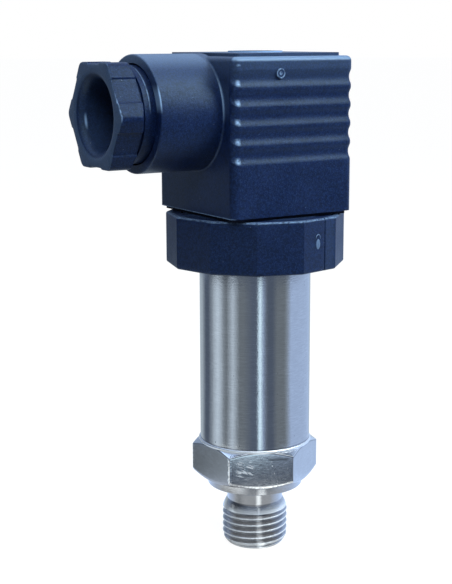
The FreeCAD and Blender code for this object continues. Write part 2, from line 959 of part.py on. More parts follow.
def wave_section():
    """Outline of what the grip waves remove: arcs inside, a straight line outside.
    x is the distance into the wall, taken along -X, and y is the height."""
    # The wall's own face trims the crests a little
    crest = -size.cover_left - size.wave_run_out - size.wave_crest_trim
    outside = crest - size.overlap
    # A wave is a narrow crest and a wider groove, with one slope where their arcs meet
    half = size.wave_pitch / 2
    crest_half = size.wave_crest_width / 2
    groove_half = half - crest_half
    crest_fall = size.wave_depth * crest_half / half
    groove_fall = size.wave_depth - crest_fall
    crest_radius = (crest_half * crest_half + crest_fall * crest_fall) / (crest_fall * 2)
    groove_radius = (groove_half * groove_half + groove_fall * groove_fall) / (groove_fall * 2)
    top = cover_top - size.wave_top_drop
    corners = [(outside, top), (crest, top)]
    for wave in range(WAVE_COUNT):
        start = top - size.wave_pitch * wave
        end = start - size.wave_pitch
        corners.append((crest + crest_fall, start - crest_half, crest_radius, 1))
        corners.append((crest + crest_fall, end + crest_half, groove_radius, -1))
        corners.append((crest, end, crest_radius, 1))
    corners.append((outside, top - size.wave_pitch * WAVE_COUNT))
    return corners


def cut_grip_waves(body):
    """Sweep the waves round the front, the right side and the back. The sweep leaves the
    gland side at both ends on a wider arc, so that each groove fades out there."""
    corner = size.cover_corner
    fade = corner + size.wave_run_out
    left = -size.cover_left + corner
    right = size.cover_right
    depth = size.cover_half_depth
    section = new_sketch(body, "XZ_Plane", depth - fade)
    add_outline(section, wave_section())
    spine = new_sketch(body, "XY_Plane", cover_top)
    add_outline(spine, [
        (left - fade, -depth + fade),
        (left, -depth, fade, 1),
        (right - corner, -depth),
        (right, -depth + corner, corner, 1),
        (right, depth - corner),
        (right - corner, depth, corner, 1),
        (left, depth),
        (left - fade, depth - fade, fade, 1),
    ], closed=False)
    doc.recompute()
    pipe = body.newObject("PartDesign::SubtractivePipe", f"{body.Name}_waves")
    pipe.Profile = section
    pipe.Spine = (spine, [f"Edge{n}" for n in range(1, len(spine.Shape.Edges) + 1)])
    finish_feature(body, pipe, False)


def round_sleeve(body, amount, reach):
    """Fillet the sleeve's round edge that lies at this reach."""
    base = body.Tip
    before = solid_volume(body)
    names = edges_where(
        body, lambda edge: is_circle(edge, size.sleeve_diameter) and at_reach(edge, reach)
    )
    feature = body.newObject("PartDesign::Fillet", f"{body.Name}_sleeve_fillet")
    feature.Base = (base, names)
    feature.Radius = amount.value
    bind(feature, "Radius", amount)
    body.Tip = feature
    doc.recompute()
    if abs(solid_volume(body) - before) < NEAR:
        raise RuntimeError(f"{feature.Label} changes nothing")


def make_cover():
    body = new_body("plug_cover")
    left = size.cover_left
    right = size.cover_right
    depth = size.cover_half_depth
    extrude(
        body,
        outlines(rounded_rectangle(-left, right, -depth, depth, size.cover_corner)),
        cover_bottom,
        size.cover_height,
    )
    dress(body, "Fillet", size.cover_top_edge, lambda edge: at_height(edge, cover_top))
    cut_grip_waves(body)
    inset = size.pad_inset
    extrude(
        body,
        outlines(rounded_rectangle(
            inset - left, right - inset, inset - depth, depth - inset, size.pad_corner
        )),
        cover_top - size.overlap,
        size.pad_height + size.overlap,
    )
    extrude(body, circles((0, 0, size.boss_diameter)), pad_top, size.boss_height)
    sleeve_root = left - size.cover_corner
    extrude(
        body,
        circles((0, size.gland_height, size.sleeve_diameter)),
        -sleeve_root,
        size.sleeve_reach - sleeve_root,
        plane="YZ_Plane",
        reverse=True,
    )
    for amount, reach in (
        (size.sleeve_edge, size.sleeve_reach),
        (size.sleeve_root_fillet, left),
    ):
        round_sleeve(body, amount, reach)
    wall = size.cover_wall
    extrude(
        body,
        outlines(rounded_rectangle(
            wall - left, right - wall, wall - depth, depth - wall, size.cavity_corner
        )),
        cover_bottom,
        size.cover_height - size.cover_roof,
        cut=True,
    )
    cavity_top = cover_top - size.cover_roof
    extrude(
        body,
        circles((0, 0, size.pillar_diameter)),
        cavity_top - size.pillar_height,
        size.pillar_height + size.overlap,
    )
    screw_hole = size.screw_diameter + size.screw_gap * 2
    extrude(
        body,
        circles((0, 0, screw_hole)),
        cavity_top - size.pillar_height,
        boss_top - cavity_top + size.pillar_height,
        cut=True,
    )
    extrude(
        body, circles((0, 0, size.recess_diameter)), recess_floor, size.recess_depth, cut=True
    )
    extrude(
        body,
        circles((0, size.gland_height, sleeve_bore * 2)),
        -size.sleeve_reach,
        size.sleeve_reach - sleeve_seat,
        cut=True,
        plane="YZ_Plane",
    )
    extrude(
        body,
        circles((0, size.gland_height, size.cable_hole_diameter)),
        -size.sleeve_reach,
        size.sleeve_reach - left + wall + size.overlap,
        cut=True,
        plane="YZ_Plane",
    )


def make_gland():
    seal = new_body("gland_seal")
    outside = sleeve_bore - size.gland_seal_gap
    revolve(seal, [
        (size.gland_seal_bore / 2, sleeve_seat),
        (outside, sleeve_seat),
        (outside, gland_washer_start),
        (size.gland_seal_bore / 2, gland_washer_start),
    ])
    on_gland_axis(seal)

    shank = sleeve_bore - size.gland_gap
    washer = new_body("gland_washer")
    revolve(washer, [
        (size.gland_washer_bore / 2, gland_washer_start),
        (shank, gland_washer_start),
        (shank, gland_nut_start),
        (size.gland_washer_bore / 2, gland_nut_start),
    ])
    on_gland_axis(washer)
    make_gland_nut(shank)


def make_gland_nut(shank):
    """The pressing screw: shank, round collar and a hexagon with stepped flats."""
    nut = new_body("gland_nut")
    bore = size.nut_bore / 2
    collar = shank + size.gland_collar_step
    neck = shank - size.gland_gap
    revolve(nut, [
        (bore, gland_nut_start),
        (shank, gland_nut_start),
        (shank, gland_collar_start),
        (collar, gland_collar_start),
        (collar, gland_collar_end),
        (neck, gland_collar_end),
        (neck, nut_hexagon_start),
        (bore, nut_hexagon_start),
    ])
    corners = hexagon_corners(size.nut_width)
    extrude(
        nut,
        lambda sketch: (
            add_outline(sketch, polygon(corners, HEXAGON_SIDES, size.nut_turn)),
            add_circle(sketch, 0, 0, bore * 2),
        ),
        nut_hexagon_start,
        size.nut_length,
    )

    def at_corner(edge):
        middle = edge.CenterOfMass
        return math.hypot(middle.x, middle.y) > size.nut_width.value / 2 + NEAR

    dress(nut, "Fillet", size.nut_corner, at_corner)
    chamfer_prism(nut, size.nut_chamfer_diameter, corners, nut_hexagon_start, 1)
    # A shallow step runs along the middle of each flat
    half = size.nut_step_width / 2
    floor = size.nut_width / 2 - size.nut_step_depth
    far = size.nut_width / 2 + size.overlap
    side_turn = 360.0 / HEXAGON_SIDES
    for flat in range(HEXAGON_SIDES):
        turn = size.nut_turn + side_turn * flat + side_turn / 2
        loop = []
        for along, out in ((-half, floor), (half, floor), (half, far), (-half, far)):
            x_out, y_out = turned_by(out, turn)
            x_along, y_along = turned_by(along, turn + 90.0)
            loop.append((x_out + x_along, y_out + y_along))
        extrude(nut, outlines(loop), nut_hexagon_start, size.nut_length, cut=True)
    dress(
        nut, "Fillet", size.nut_rim,
        lambda edge: is_circle(edge, size.nut_bore) and at_height(edge, nut_reach),
    )
    on_gland_axis(nut)


def terminal_seats():
    """Each terminal's label, its place, and whether its blade lies along Y."""
    labels = {
        "contact_pin_1": "terminal_1",
        "contact_pin_2": "terminal_2",
        "contact_pin_3": "terminal_3",
        "earth_pin": "earth_terminal",
    }
    return [(labels[pin], x, y, along_y) for pin, x, y, along_y, _ in pin_seats()]


def cage_centre(x, y):
    """The cage of a terminal is thicker than its legs and reaches inwards from them."""
    inward = (size.pin_radius - size.cage_depth / 2 + size.terminal_thickness / 2)
    share = inward / size.pin_radius
    return as_size(x) * share, as_size(y) * share


def make_contact_insert():
    """The moulded carrier of the terminals, with a pocket for each of them."""
    body = new_body("contact_insert")
    gap = size.cover_wall + size.carrier_block_gap
    left = size.cover_left - gap
    right = size.cover_right - gap
    depth = size.cover_half_depth - gap
    pockets = [
        across(
            as_size(x), as_size(y),
            size.terminal_width + size.terminal_gap * 2,
            size.terminal_thickness + size.terminal_gap * 2,
            along_y,
        )
        for _, x, y, along_y in terminal_seats()
    ]
    extrude(
        body,
        lambda sketch: (
            add_outline(sketch, rounded_rectangle(
                -left, right, -depth, depth, size.carrier_block_corner
            )),
            add_circle(sketch, 0, 0, size.carrier_block_hole),
            outlines(*pockets)(sketch),
        ),
        block_bottom,
        size.carrier_block_height,
    )


def make_terminal(label, x, y, along_y):
    body = new_body(label)
    x = as_size(x)
    y = as_size(y)
    bottom = block_top - size.terminal_height
    slot_width = size.blade_width + size.blade_gap * 2
    slot_depth = size.blade_thickness + size.blade_gap * 2
    extrude(
        body,
        outlines(
            across(x, y, size.terminal_width, size.terminal_thickness, along_y),
            across(x, y, slot_width, slot_depth, along_y),
        ),
        bottom,
        size.terminal_height,
    )
    cage_x, cage_y = cage_centre(x, y)
    extrude(
        body,
        outlines(across(cage_x, cage_y, size.cage_width, size.cage_depth, along_y)),
        block_top,
        size.cage_height,
    )
    # The wire enters the cage flat, from the side of the housing
    wire_bottom = block_top + (size.cage_height - size.cage_wire_height) / 2
    half = size.cage_wire_width / 2
    plane = "YZ_Plane" if along_y else "XZ_Plane"
    extrude(
        body,
        outlines(rectangle(-half, half, wire_bottom, wire_bottom + size.cage_wire_height)),
        -size.pin_radius - size.cage_depth,
        (size.pin_radius + size.cage_depth) * 2,
        cut=True,
        plane=plane,
    )
    extrude(
        body,
        circles((cage_x, cage_y, size.clamp_screw_diameter)),
        wire_bottom + size.cage_wire_height,
        size.cage_height,
        cut=True,
    )


def make_terminal_screws():
    """The four clamp screws, alike, with slotted heads."""
    cage_top = block_top + size.cage_height
    screws = []
    for _, x, y, _ in terminal_seats():
        centre_x, centre_y = cage_centre(x, y)
        shank = doc.addObject("Part::Cylinder", "clamp_shank")
        bind(shank, "Radius", size.clamp_screw_diameter / 2)
        bind(shank, "Height", size.clamp_screw_length)
        bind(shank, "Placement.Base.z", cage_top - size.clamp_screw_length)
        head = doc.addObject("Part::Cylinder", "clamp_head")
        bind(head, "Radius", size.clamp_screw_head / 2)
        bind(head, "Height", size.clamp_screw_head_height)
        bind(head, "Placement.Base.z", cage_top)
        slot = doc.addObject("Part::Box", "clamp_slot")
        bind(slot, "Length", size.clamp_screw_slot)
        bind(slot, "Width", size.clamp_screw_head)
        bind(slot, "Height", size.clamp_screw_head_height / 2)
        bind(slot, "Placement.Base.x", centre_x - size.clamp_screw_slot / 2)
        bind(slot, "Placement.Base.y", centre_y - size.clamp_screw_head / 2)
        bind(slot, "Placement.Base.z", cage_top + size.clamp_screw_head_height / 2)
        for piece in (shank, head):
            bind(piece, "Placement.Base.x", centre_x)
            bind(piece, "Placement.Base.y", centre_y)
        whole = doc.addObject("Part::Fuse", "clamp_blank")
        whole.Base = shank
        whole.Tool = head
        screw = doc.addObject("Part::Cut", "clamp_screw")
        screw.Base = whole
        screw.Tool = slot
        screws.append(screw)
    group = doc.addObject("Part::Compound", "terminal_screws")
    group.Label = "terminal_screws"
    group.Links = screws
    nodes.append(group)


def make_retaining_screw():
    seal = new_body("screw_seal")
    seal_top = recess_floor + size.screw_seal_thickness
    hole = size.screw_diameter / 2 + size.screw_gap
    revolve(seal, [
        (hole, recess_floor),
        (size.screw_seal_diameter / 2, recess_floor),
        (size.screw_seal_diameter / 2, seal_top),
        (hole, seal_top),
    ])
    screw = new_body("retaining_screw")
    shank = size.screw_diameter / 2
    head = size.screw_head_diameter / 2
    tip = seal_top - size.screw_length
    head_top = seal_top + size.screw_head_height
    edge = size.screw_edge
    revolve(screw, [
        (0, tip),
        (shank - edge, tip),
        (shank, tip + edge),
        (shank, seal_top),
        (head, seal_top),
        (head, head_top - edge),
        (head - edge, head_top),
        (0, head_top),
    ])
    slot = size.screw_slot_width / 2
    extrude(
        screw,
        outlines(rectangle(-head * 2, head * 2, -slot, slot)),
        head_top - size.screw_slot_depth,
        size.screw_slot_depth,
        cut=True,
    )


def check_document():
    """Stop if any object failed or any sub-part's shape isn't a sound solid."""
    doc.recompute()
    for item in doc.Objects:
        if "Invalid" in item.State or "Error" in item.State:
            raise RuntimeError(f"{item.Label} failed: {item.State}")
    for node in nodes:
        shape = node.Shape
        if shape.isNull() or not shape.isValid() or not shape.Solids:
            raise RuntimeError(f"{node.Label} has no valid shape")


def export_parts():
    os.makedirs("parts", exist_ok=True)
    for node in nodes:
        node.Shape.exportStep(os.path.join("parts", f"{node.Label}.step"))


make_process_connection()
make_sensor()
make_tube()
make_board()
make_board_components()
make_sensor_leads()
make_connection_leads()
make_union_ring()
make_header()
for pin_seat in pin_seats():
    make_pin(*pin_seat)
make_gasket()
make_cover()
make_gland()
make_contact_insert()
for terminal_seat in terminal_seats():
    make_terminal(*terminal_seat)
make_terminal_screws()
make_retaining_screw()
check_document()
export_parts()
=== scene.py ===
import json
import math

import bpy
from mathutils import Matrix, Vector


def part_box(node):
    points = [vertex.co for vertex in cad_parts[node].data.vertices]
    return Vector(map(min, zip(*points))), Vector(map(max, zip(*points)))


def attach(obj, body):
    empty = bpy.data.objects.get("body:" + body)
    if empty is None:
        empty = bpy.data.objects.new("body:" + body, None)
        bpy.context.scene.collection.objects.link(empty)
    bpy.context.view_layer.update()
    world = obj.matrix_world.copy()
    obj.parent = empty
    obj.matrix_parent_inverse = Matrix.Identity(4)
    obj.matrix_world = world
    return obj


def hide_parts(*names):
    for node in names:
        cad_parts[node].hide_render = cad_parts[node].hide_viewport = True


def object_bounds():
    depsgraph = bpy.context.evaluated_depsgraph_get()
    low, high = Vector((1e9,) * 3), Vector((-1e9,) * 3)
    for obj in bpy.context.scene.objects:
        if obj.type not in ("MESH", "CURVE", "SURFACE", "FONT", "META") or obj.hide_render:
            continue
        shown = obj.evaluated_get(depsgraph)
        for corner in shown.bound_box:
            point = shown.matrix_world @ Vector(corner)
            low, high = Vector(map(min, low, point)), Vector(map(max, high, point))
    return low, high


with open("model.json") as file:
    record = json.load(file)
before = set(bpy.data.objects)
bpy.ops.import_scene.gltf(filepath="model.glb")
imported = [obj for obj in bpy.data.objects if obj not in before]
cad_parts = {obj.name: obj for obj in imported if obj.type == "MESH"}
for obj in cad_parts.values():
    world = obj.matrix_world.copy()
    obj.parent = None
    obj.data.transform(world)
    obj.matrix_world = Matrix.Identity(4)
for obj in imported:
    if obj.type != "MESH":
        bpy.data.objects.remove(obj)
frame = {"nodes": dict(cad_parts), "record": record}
cad_low, cad_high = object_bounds()
nodes = frame["nodes"]

MM = 0.001

# Sizes and levels of the object are in mm, and azimuths in degrees from +X


def corners(node):
    """A node's lowest and highest corners at rest, in mm."""
    low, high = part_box(node)
    return Vector(low) / MM, Vector(high) / MM


stud_low, stud_high = corners("process_connection")
tube_high = corners("body_tube")[1]
ring_low, ring_high = corners("collar_ring")
nut_low, nut_high = corners("gland_nut")
cover_low, cover_high = corners("plug_cover")

# The azimuth of the camera from the axis, where one thread crest is placed
CAMERA_SIDE = 238.2

# The spanner hexagon: half its width, its first corner's azimuth, the azimuth of the flat
# that faces the camera, and its levels
HEX_SIDES = 6
HEX_HALF = 11.0
HEX_TURN = 33.6
HEX_FRONT = 243.6
HEX_TOP = 9.35
HEX_BOTTOM = 2.0
# Chamfers of hexagons rise at this slope, and this one's start at this radius
CHAMFER_SLOPE = math.tan(math.radians(30))
CHAMFER_RADIUS = 10.95

# The stud: its end, the start of its rounded tip, and the flank that leads to its neck
STUD_END = stud_low.z
TIP_START = -10.4
FLANK_START = -5.4
NECK_START = -3.3
NECK_RADIUS = 5.6

# The tube: its outer radius, its upper end, and the level where its foot meets the weld bead
TUBE_RADIUS = 11.0
TUBE_TOP = tube_high.z
BEAD_TOP = 9.9

# The union ring: a twelve-sided prism, with a mould seam in the flat at SEAM_FLAT
RING_SIDES = 12
RING_TURN = 28.35
RING_HALF = 16.904
RING_BOTTOM, RING_TOP = ring_low.z, ring_high.z
SEAM_FLAT = 283.35

# The gland: the height of its axis, and how far its front face and its inner end reach
GLAND_HEIGHT = (nut_low.z + nut_high.z) / 2
NUT_FRONT, SHANK_END = -nut_low.x, -nut_high.x

# The cover: its underside, roof, pad, boss and grip face, and its sleeve's root and end
COVER_BOTTOM = cover_low.z
BOSS_TOP = cover_high.z
PAD_TOP = BOSS_TOP - 0.28
COVER_TOP = PAD_TOP - 0.6
BOSS_RADIUS = 5.25
GRIP_FACE = cover_low.y
SLEEVE_ROOT = -13.95
SLEEVE_END = cover_low.x
# Its first grip wave, their pitch, and the gate mark's place on the grip face
WAVE_START, WAVE_PITCH = COVER_TOP - 2.15, 3.51
GATE_ALONG, GATE_HEIGHT = -3.41, 82.48


# Node trees
class Surface:
    """A material under construction, with short calls for the nodes used here."""

    def __init__(self, name, tree=None):
        if tree is None:
            self.material = bpy.data.materials.new(name)
            self.material.use_nodes = True
            tree = self.material.node_tree
        self.tree = tree
        self.tree.nodes.clear()

    def node(self, kind, inputs=None, **settings):
        made = self.tree.nodes.new(kind)
        for key, value in settings.items():
            setattr(made, key, value)
        for socket, value in (inputs or {}).items():
            self.plug(made.inputs[socket], value)
        return made

    def plug(self, socket, value):
        if isinstance(value, bpy.types.NodeSocket):
            self.tree.links.new(value, socket)
        else:
            socket.default_value = value

    def stretched(self, stretch):
        """The object's coordinates, stretched along its axes."""
        coords = self.node("ShaderNodeTexCoord").outputs["Object"]
        mapping = self.node("ShaderNodeMapping", {"Vector": coords, "Scale": stretch})
        return mapping.outputs["Vector"]

    def noise(self, size_mm, detail=2.0, roughness=0.5, stretch=(1, 1, 1), place=None):
        """Noise whose features are about size_mm across."""
        return self.node(
            "ShaderNodeTexNoise",
            {
                "Vector": self.stretched(stretch) if place is None else place,
                "Scale": 1 / (size_mm * MM),
                "Detail": detail,
                "Roughness": roughness,
            },
        ).outputs["Fac"]

    def math(self, operation, a, b=0.0):
        return self.node("ShaderNodeMath", {0: a, 1: b}, operation=operation).outputs[0]

    def both(self, *masks):
        """Where all the masks are."""
        whole = masks[0]
        for mask in masks[1:]:
            whole = self.math("MULTIPLY", whole, mask)
        return whole

    def coordinates(self):
        """x, y and z in mm."""
        place = self.node("ShaderNodeTexCoord").outputs["Object"]
        grown = self.node(
            "ShaderNodeVectorMath", {0: place, "Scale": 1 / MM}, operation="SCALE"
        ).outputs["Vector"]
        split = self.node("ShaderNodeSeparateXYZ", {"Vector": grown}).outputs
        return split["X"], split["Y"], split["Z"]

    def reach(self, a, b):
        """The distance from the axis that two coordinates are measured from."""
        squares = [self.math("MULTIPLY", side, side) for side in (a, b)]
        return self.math("SQRT", self.math("ADD", *squares))

    def along(self, x, y, azimuth):
        """How far a point lies towards an azimuth."""
        turn = math.radians(azimuth)
        return self.math(
            "ADD",
            self.math("MULTIPLY", x, math.cos(turn)),
            self.math("MULTIPLY", y, math.sin(turn)),
        )

    def highest(self, first, *others):
        """The largest of several masks."""
        for mask in others:
            first = self.math("MAXIMUM", first, mask)
        return first

    def above(self, value, level, soft):
        """1 over the level, 0 under it, with a soft step."""
        return self.ranged(value, level - soft, level + soft, 0.0, 1.0)

    def below(self, value, level, soft):
        """1 under the level, 0 over it, with a soft step."""
        return self.ranged(value, level - soft, level + soft, 1.0, 0.0)

    def band(self, value, middle, half, soft):
        """1 near the middle, halfway down at half from it, with sides that fall over twice soft."""
        off = self.math("ABSOLUTE", self.math("SUBTRACT", value, middle))
        return self.below(off, half, soft)

    def ranged(self, value, low, high, to_low, to_high):
        return self.node(
            "ShaderNodeMapRange",
            {
                "Value": value,
                "From Min": low,
                "From Max": high,
                "To Min": to_low,
                "To Max": to_high,
            },
        ).outputs["Result"]

    def mix(self, factor, first, second):
        made = self.node("ShaderNodeMix", data_type="RGBA")
        self.plug(made.inputs["Factor"], factor)
        self.plug(made.inputs["A"], first)
        self.plug(made.inputs["B"], second)
        return made.outputs["Result"]

    def bump(self, height, distance_mm, strength=1.0, normal=None):
        inputs = {"Height": height, "Distance": distance_mm * MM, "Strength": strength}
        if normal is not None:
            inputs["Normal"] = normal
        return self.node("ShaderNodeBump", inputs).outputs["Normal"]

    def principled(self, **inputs):
        named = {
            key.replace("_", " ").title().replace("Ior", "IOR"): value
            for key, value in inputs.items()
        }
        shader = self.node("ShaderNodeBsdfPrincipled", named)
        self.node("ShaderNodeOutputMaterial", {"Surface": shader.outputs[0]})
        return self.material


def linear(red, green, blue):
    """A colour given as it looks on screen, 0 to 255, as linear RGBA."""
    return tuple(
        ((part / 255 + 0.055) / 1.055) ** 2.4 if part > 10 else part / 255 / 12.92
        for part in (red, green, blue)
    ) + (1.0,)


def shade(colour, factor):
    """The colour made lighter or darker."""
    return tuple(part * factor for part in colour[:3]) + (1.0,)


# Materials
def moulded(name, colour, roughness, pale_light_and_tone, shine=0.5):
    """Injection-moulded black plastic: fine eroded grain, cloudy gloss and a few pale specks.

    pale_light_and_tone gives how far each place is painted pale: painted highlights and sheen on
    the cover, ring and nut, and a faint random tone on the base."""
    look = Surface(name)
    cloud = look.noise(6.0, 3.0)
    fine = look.noise(0.17, 2.0)
    pits = look.noise(0.45, 2.0)
    tint = look.mix(
        look.ranged(cloud, 0.3, 0.7, 0.0, 1.0), shade(colour, 0.88), shade(colour, 1.12)
    )
    tint = look.mix(look.ranged(fine, 0.45, 0.62, 0.0, 0.8), tint, linear(27, 48, 88))
    tint = look.mix(look.ranged(pits, 0.38, 0.54, 0.6, 0.0), tint, shade(colour, 0.25))
    # Pale paint: painted highlights and sheen on the cover, ring and nut, and a faint random tone
    # on the base
    tint = look.mix(pale_light_and_tone(look), tint, linear(150, 182, 220))
    speck = look.ranged(look.noise(0.55, 1.0), 0.79, 0.82, 0.0, 0.5)
    tint = look.mix(speck, tint, linear(125, 140, 165))
    rough = look.ranged(cloud, 0.3, 0.7, roughness - 0.04, roughness + 0.05)
    normal = look.bump(fine, 0.07, 0.6)
    return look.principled(
        base_color=tint,
        roughness=rough,
        specular_ior_level=shine,
        specular_tint=(0.58, 0.80, 1.0, 1.0),
        normal=normal,
    )


def cover_painted_highlights(look, x, y, z):
    """Small painted highlights: round the boss, at the waves' ends, along the lower edge, on the
    sleeve's end and root; and on the gate mark a mottled paleness, partly its own and partly
    painted highlight.
    """
    ragged = look.ranged(look.noise(0.5, 3.0), 0.35, 0.6, 0.3, 1.0)
    # Painted highlight round the boss's rim
    rim = look.band(look.reach(x, y), BOSS_RADIUS, 0.15, 0.05)
    boss = look.both(look.above(z, PAD_TOP - 0.15, 0.05), rim)
    # Painted highlights at the left ends of the wave crests
    down = look.math("SUBTRACT", WAVE_START, z)
    wave_end_highlights = look.both(
        look.band(look.math("FRACT", look.math("DIVIDE", down, WAVE_PITCH)), 0.72, 0.13, 0.08),
        look.band(x, -12.55, 0.35, 0.3),
        look.below(y, -13.0, 0.1),
        look.band(z, 75.0, 9.2, 0.2),
        ragged,
    )
    # Painted highlight along the lower edge
    low = look.below(z, COVER_BOTTOM + 0.12, 0.08)
    lower_edge_highlight = look.both(low, look.below(x, -13.2, 0.3), ragged)
    # Painted highlight on the sleeve's end edge
    sleeve_end_highlight = look.both(
        look.band(x, SLEEVE_END + 0.12, 0.12, 0.08),
        look.band(z, 78.3, 1.8, 0.8),
        look.below(y, -6.0, 1.0),
    )
    # Painted highlight round the sleeve's root
    root = look.both(
        look.band(x, SLEEVE_ROOT, 0.12, 0.1),
        look.band(z, 78.0, 3.0, 1.5),
        look.below(y, -6.0, 1.0),
    )
    # The gate mark: its own mottled paleness, partly painted highlight
    gate = look.both(
        look.below(y, GRIP_FACE - 0.02, 0.02),
        look.band(x, GATE_ALONG, 1.0, 0.1),
        look.band(z, GATE_HEIGHT, 1.0, 0.1),
        look.ranged(look.noise(0.8, 2.0), 0.4, 0.6, 0.1, 0.6),
    )
    root = look.math("MULTIPLY", root, 0.6)
    return look.highest(boss, wave_end_highlights, lower_edge_highlight, sleeve_end_highlight, root, gate)


def cover_painted_light(look):
    """Painted light on the cover: lighter towards its top, a painted sheen on top of its sleeve,
    painted highlights along its top edges and on its pad, and the small painted highlights.
    """
    x, y, z = look.coordinates()
    # Painted light: the upper part of the cover lighter towards the top
    upper = look.ranged(z, COVER_TOP - 6.05, COVER_TOP - 0.55, 0.0, 0.08)
    # Painted sheen on top of the sleeve
    on_sleeve = look.below(x, SLEEVE_ROOT - 0.25, 0.3)
    rise = look.ranged(z, COVER_TOP - 3.05, COVER_TOP + 0.25, 0.0, 0.23)
    sleeve = look.math("MULTIPLY", on_sleeve, rise)
    # Painted highlight along the top edges of the front and back faces
    edge = look.both(
        look.above(z, COVER_TOP - 0.7, 0.2),
        look.above(look.math("ABSOLUTE", y), 12.9, 0.2),
        look.above(x, -13.6, 0.3),
    )
    # Painted highlight on the pad
    pad = look.above(z, COVER_TOP + 0.07, 0.05)
    soft = look.highest(
        upper, sleeve, look.math("MULTIPLY", edge, 0.44), look.math("MULTIPLY", pad, 0.05)
    )
    return look.highest(soft, look.math("MULTIPLY", cover_painted_highlights(look, x, y, z), 0.8))


def ring_highlights_and_pale_mark(look):
    """The ring is painted paler: painted highlights along its upper edge, a trace of painted light
    right of the seam, and paler on its small mark.
    """
    x, y, z = look.coordinates()
    ragged = look.ranged(look.noise(0.5, 3.0), 0.35, 0.6, 0.2, 1.0)
    outside = look.above(look.reach(x, y), 16.3, 0.2)
    # Painted highlight along the upper edge
    edge = look.both(look.above(z, RING_TOP - 0.3, 0.1), outside, ragged)
    outward = look.along(x, y, SEAM_FLAT)
    across = look.along(x, y, SEAM_FLAT + 90)
    # A trace of painted light on the flat right of the seam
    beside = look.both(look.above(outward, 16.6, 0.1), look.band(across, 2.9, 1.3, 0.15))
    mark = look.above(outward, RING_HALF + 0.036, 0.02)
    return look.highest(
        look.math("MULTIPLY", edge, 0.35),
        look.math("MULTIPLY", beside, 0.02),
        look.math("MULTIPLY", mark, 0.33),
    )


def nut_painted_light(look):
    """Painted light on the nut: its front face painted lighter where it is lit, a little light
    painted into its bore, and painted highlights on its upper front edges, in its bore and at its
    collar.
    """
    x, y, z = look.coordinates()
    front = 0.2 - NUT_FRONT
    reach = look.reach(y, look.math("SUBTRACT", z, GLAND_HEIGHT))
    # Painted light: the front face lighter where it is lit
    face = look.below(x, front, 0.1)
    # Painted highlight along the upper front edges
    edge = look.both(
        look.band(x, front, 0.10, 0.05),
        look.above(reach, 9.2, 0.1),
        look.below(y, -7.0, 0.5),
        look.band(z, 77.0, 2.3, 0.5),
        look.ranged(look.noise(0.9, 3.0), 0.35, 0.6, 0.0, 1.0),
    )
    # Painted light in the bore, lightening its shade
    bore = look.both(look.below(reach, 7.3, 0.2), look.below(x, -24.0, 4.0))
    # A painted highlight streak on the bore's far wall
    streak = look.both(
        look.below(reach, 7.0, 0.1),
        look.above(y, 5.0, 0.5),
        look.band(x, -33.1, 0.14, 0.2),
        look.band(z, 73.9, 1.0, 0.7),
    )
    # Painted highlight on the collar's edge
    collar = look.both(
        look.band(x, -27.95, 0.12, 0.08),
        look.above(z, 77.0, 1.5),
        look.ranged(look.noise(1.2, 3.0), 0.4, 0.6, 0.1, 0.6),
    )
    return look.highest(
        look.math("MULTIPLY", face, 0.14),
        look.math("MULTIPLY", bore, 0.04),
        look.math("MULTIPLY", edge, 0.5),
        collar,
        streak,
    )


def base_wear(look):
    """The base inside is evenly new."""
    return look.math("MULTIPLY", look.noise(2.0, 2.0), 0.05)


def tool_marks(look, colour, lines_mm, around):
    """Colour and line pattern that all turned steel shares."""
    patches = look.noise(3.0, 4.0, 0.6)
    lines = look.noise(lines_mm * around, 2.0, 0.55, stretch=(1, 1, around))
    tint = look.mix(
        look.ranged(patches, 0.3, 0.7, 0.0, 1.0), shade(colour, 0.92), shade(colour, 1.05)
    )
    tint = look.mix(look.ranged(lines, 0.35, 0.65, 0.0, 1.0), shade(colour, 0.90), tint)
    return tint, lines


def turned_tube(name):
    """Satin tube: tool lines around the axis, and a faintly uneven, mottled face."""
    look = Surface(name)
    tint, lines = tool_marks(look, linear(203, 203, 206), 0.22, 8.0)
    pits = look.ranged(look.noise(0.5, 1.0), 0.76, 0.80, 0.0, 0.6)
    tint = look.mix(pits, tint, linear(70, 76, 88))
    rough = look.ranged(lines, 0.3, 0.7, 0.06, 0.11)

    # The weld bead at the foot is painted near-white and dull as a painted highlight, with a dark
    # joint over it
    x, y, z = look.coordinates()
    radius = look.reach(x, y)
    proud = TUBE_RADIUS + 0.05
    bead = look.both(look.above(radius, proud, 0.02), look.below(z, BEAD_TOP, 0.02))
    tint = look.mix(bead, tint, linear(252, 253, 255))
    rough = look.math("ADD", rough, look.math("MULTIPLY", bead, 0.3))
    joint = look.both(look.band(z, BEAD_TOP - 0.04, 0.05, 0.04), look.below(radius, proud, 0.03))
    tint = look.mix(look.math("MULTIPLY", joint, 0.7), tint, linear(60, 66, 80))

    normal = look.bump(look.noise(0.9, 3.0, 0.6, stretch=(1, 1, 0.4)), 0.010)
    normal = look.bump(look.noise(0.3, 2.0), 0.004, 1.0, normal)
    normal = look.bump(lines, 0.002, 1.0, normal)
    return look.principled(base_color=tint, metallic=1.0, roughness=rough, normal=normal)


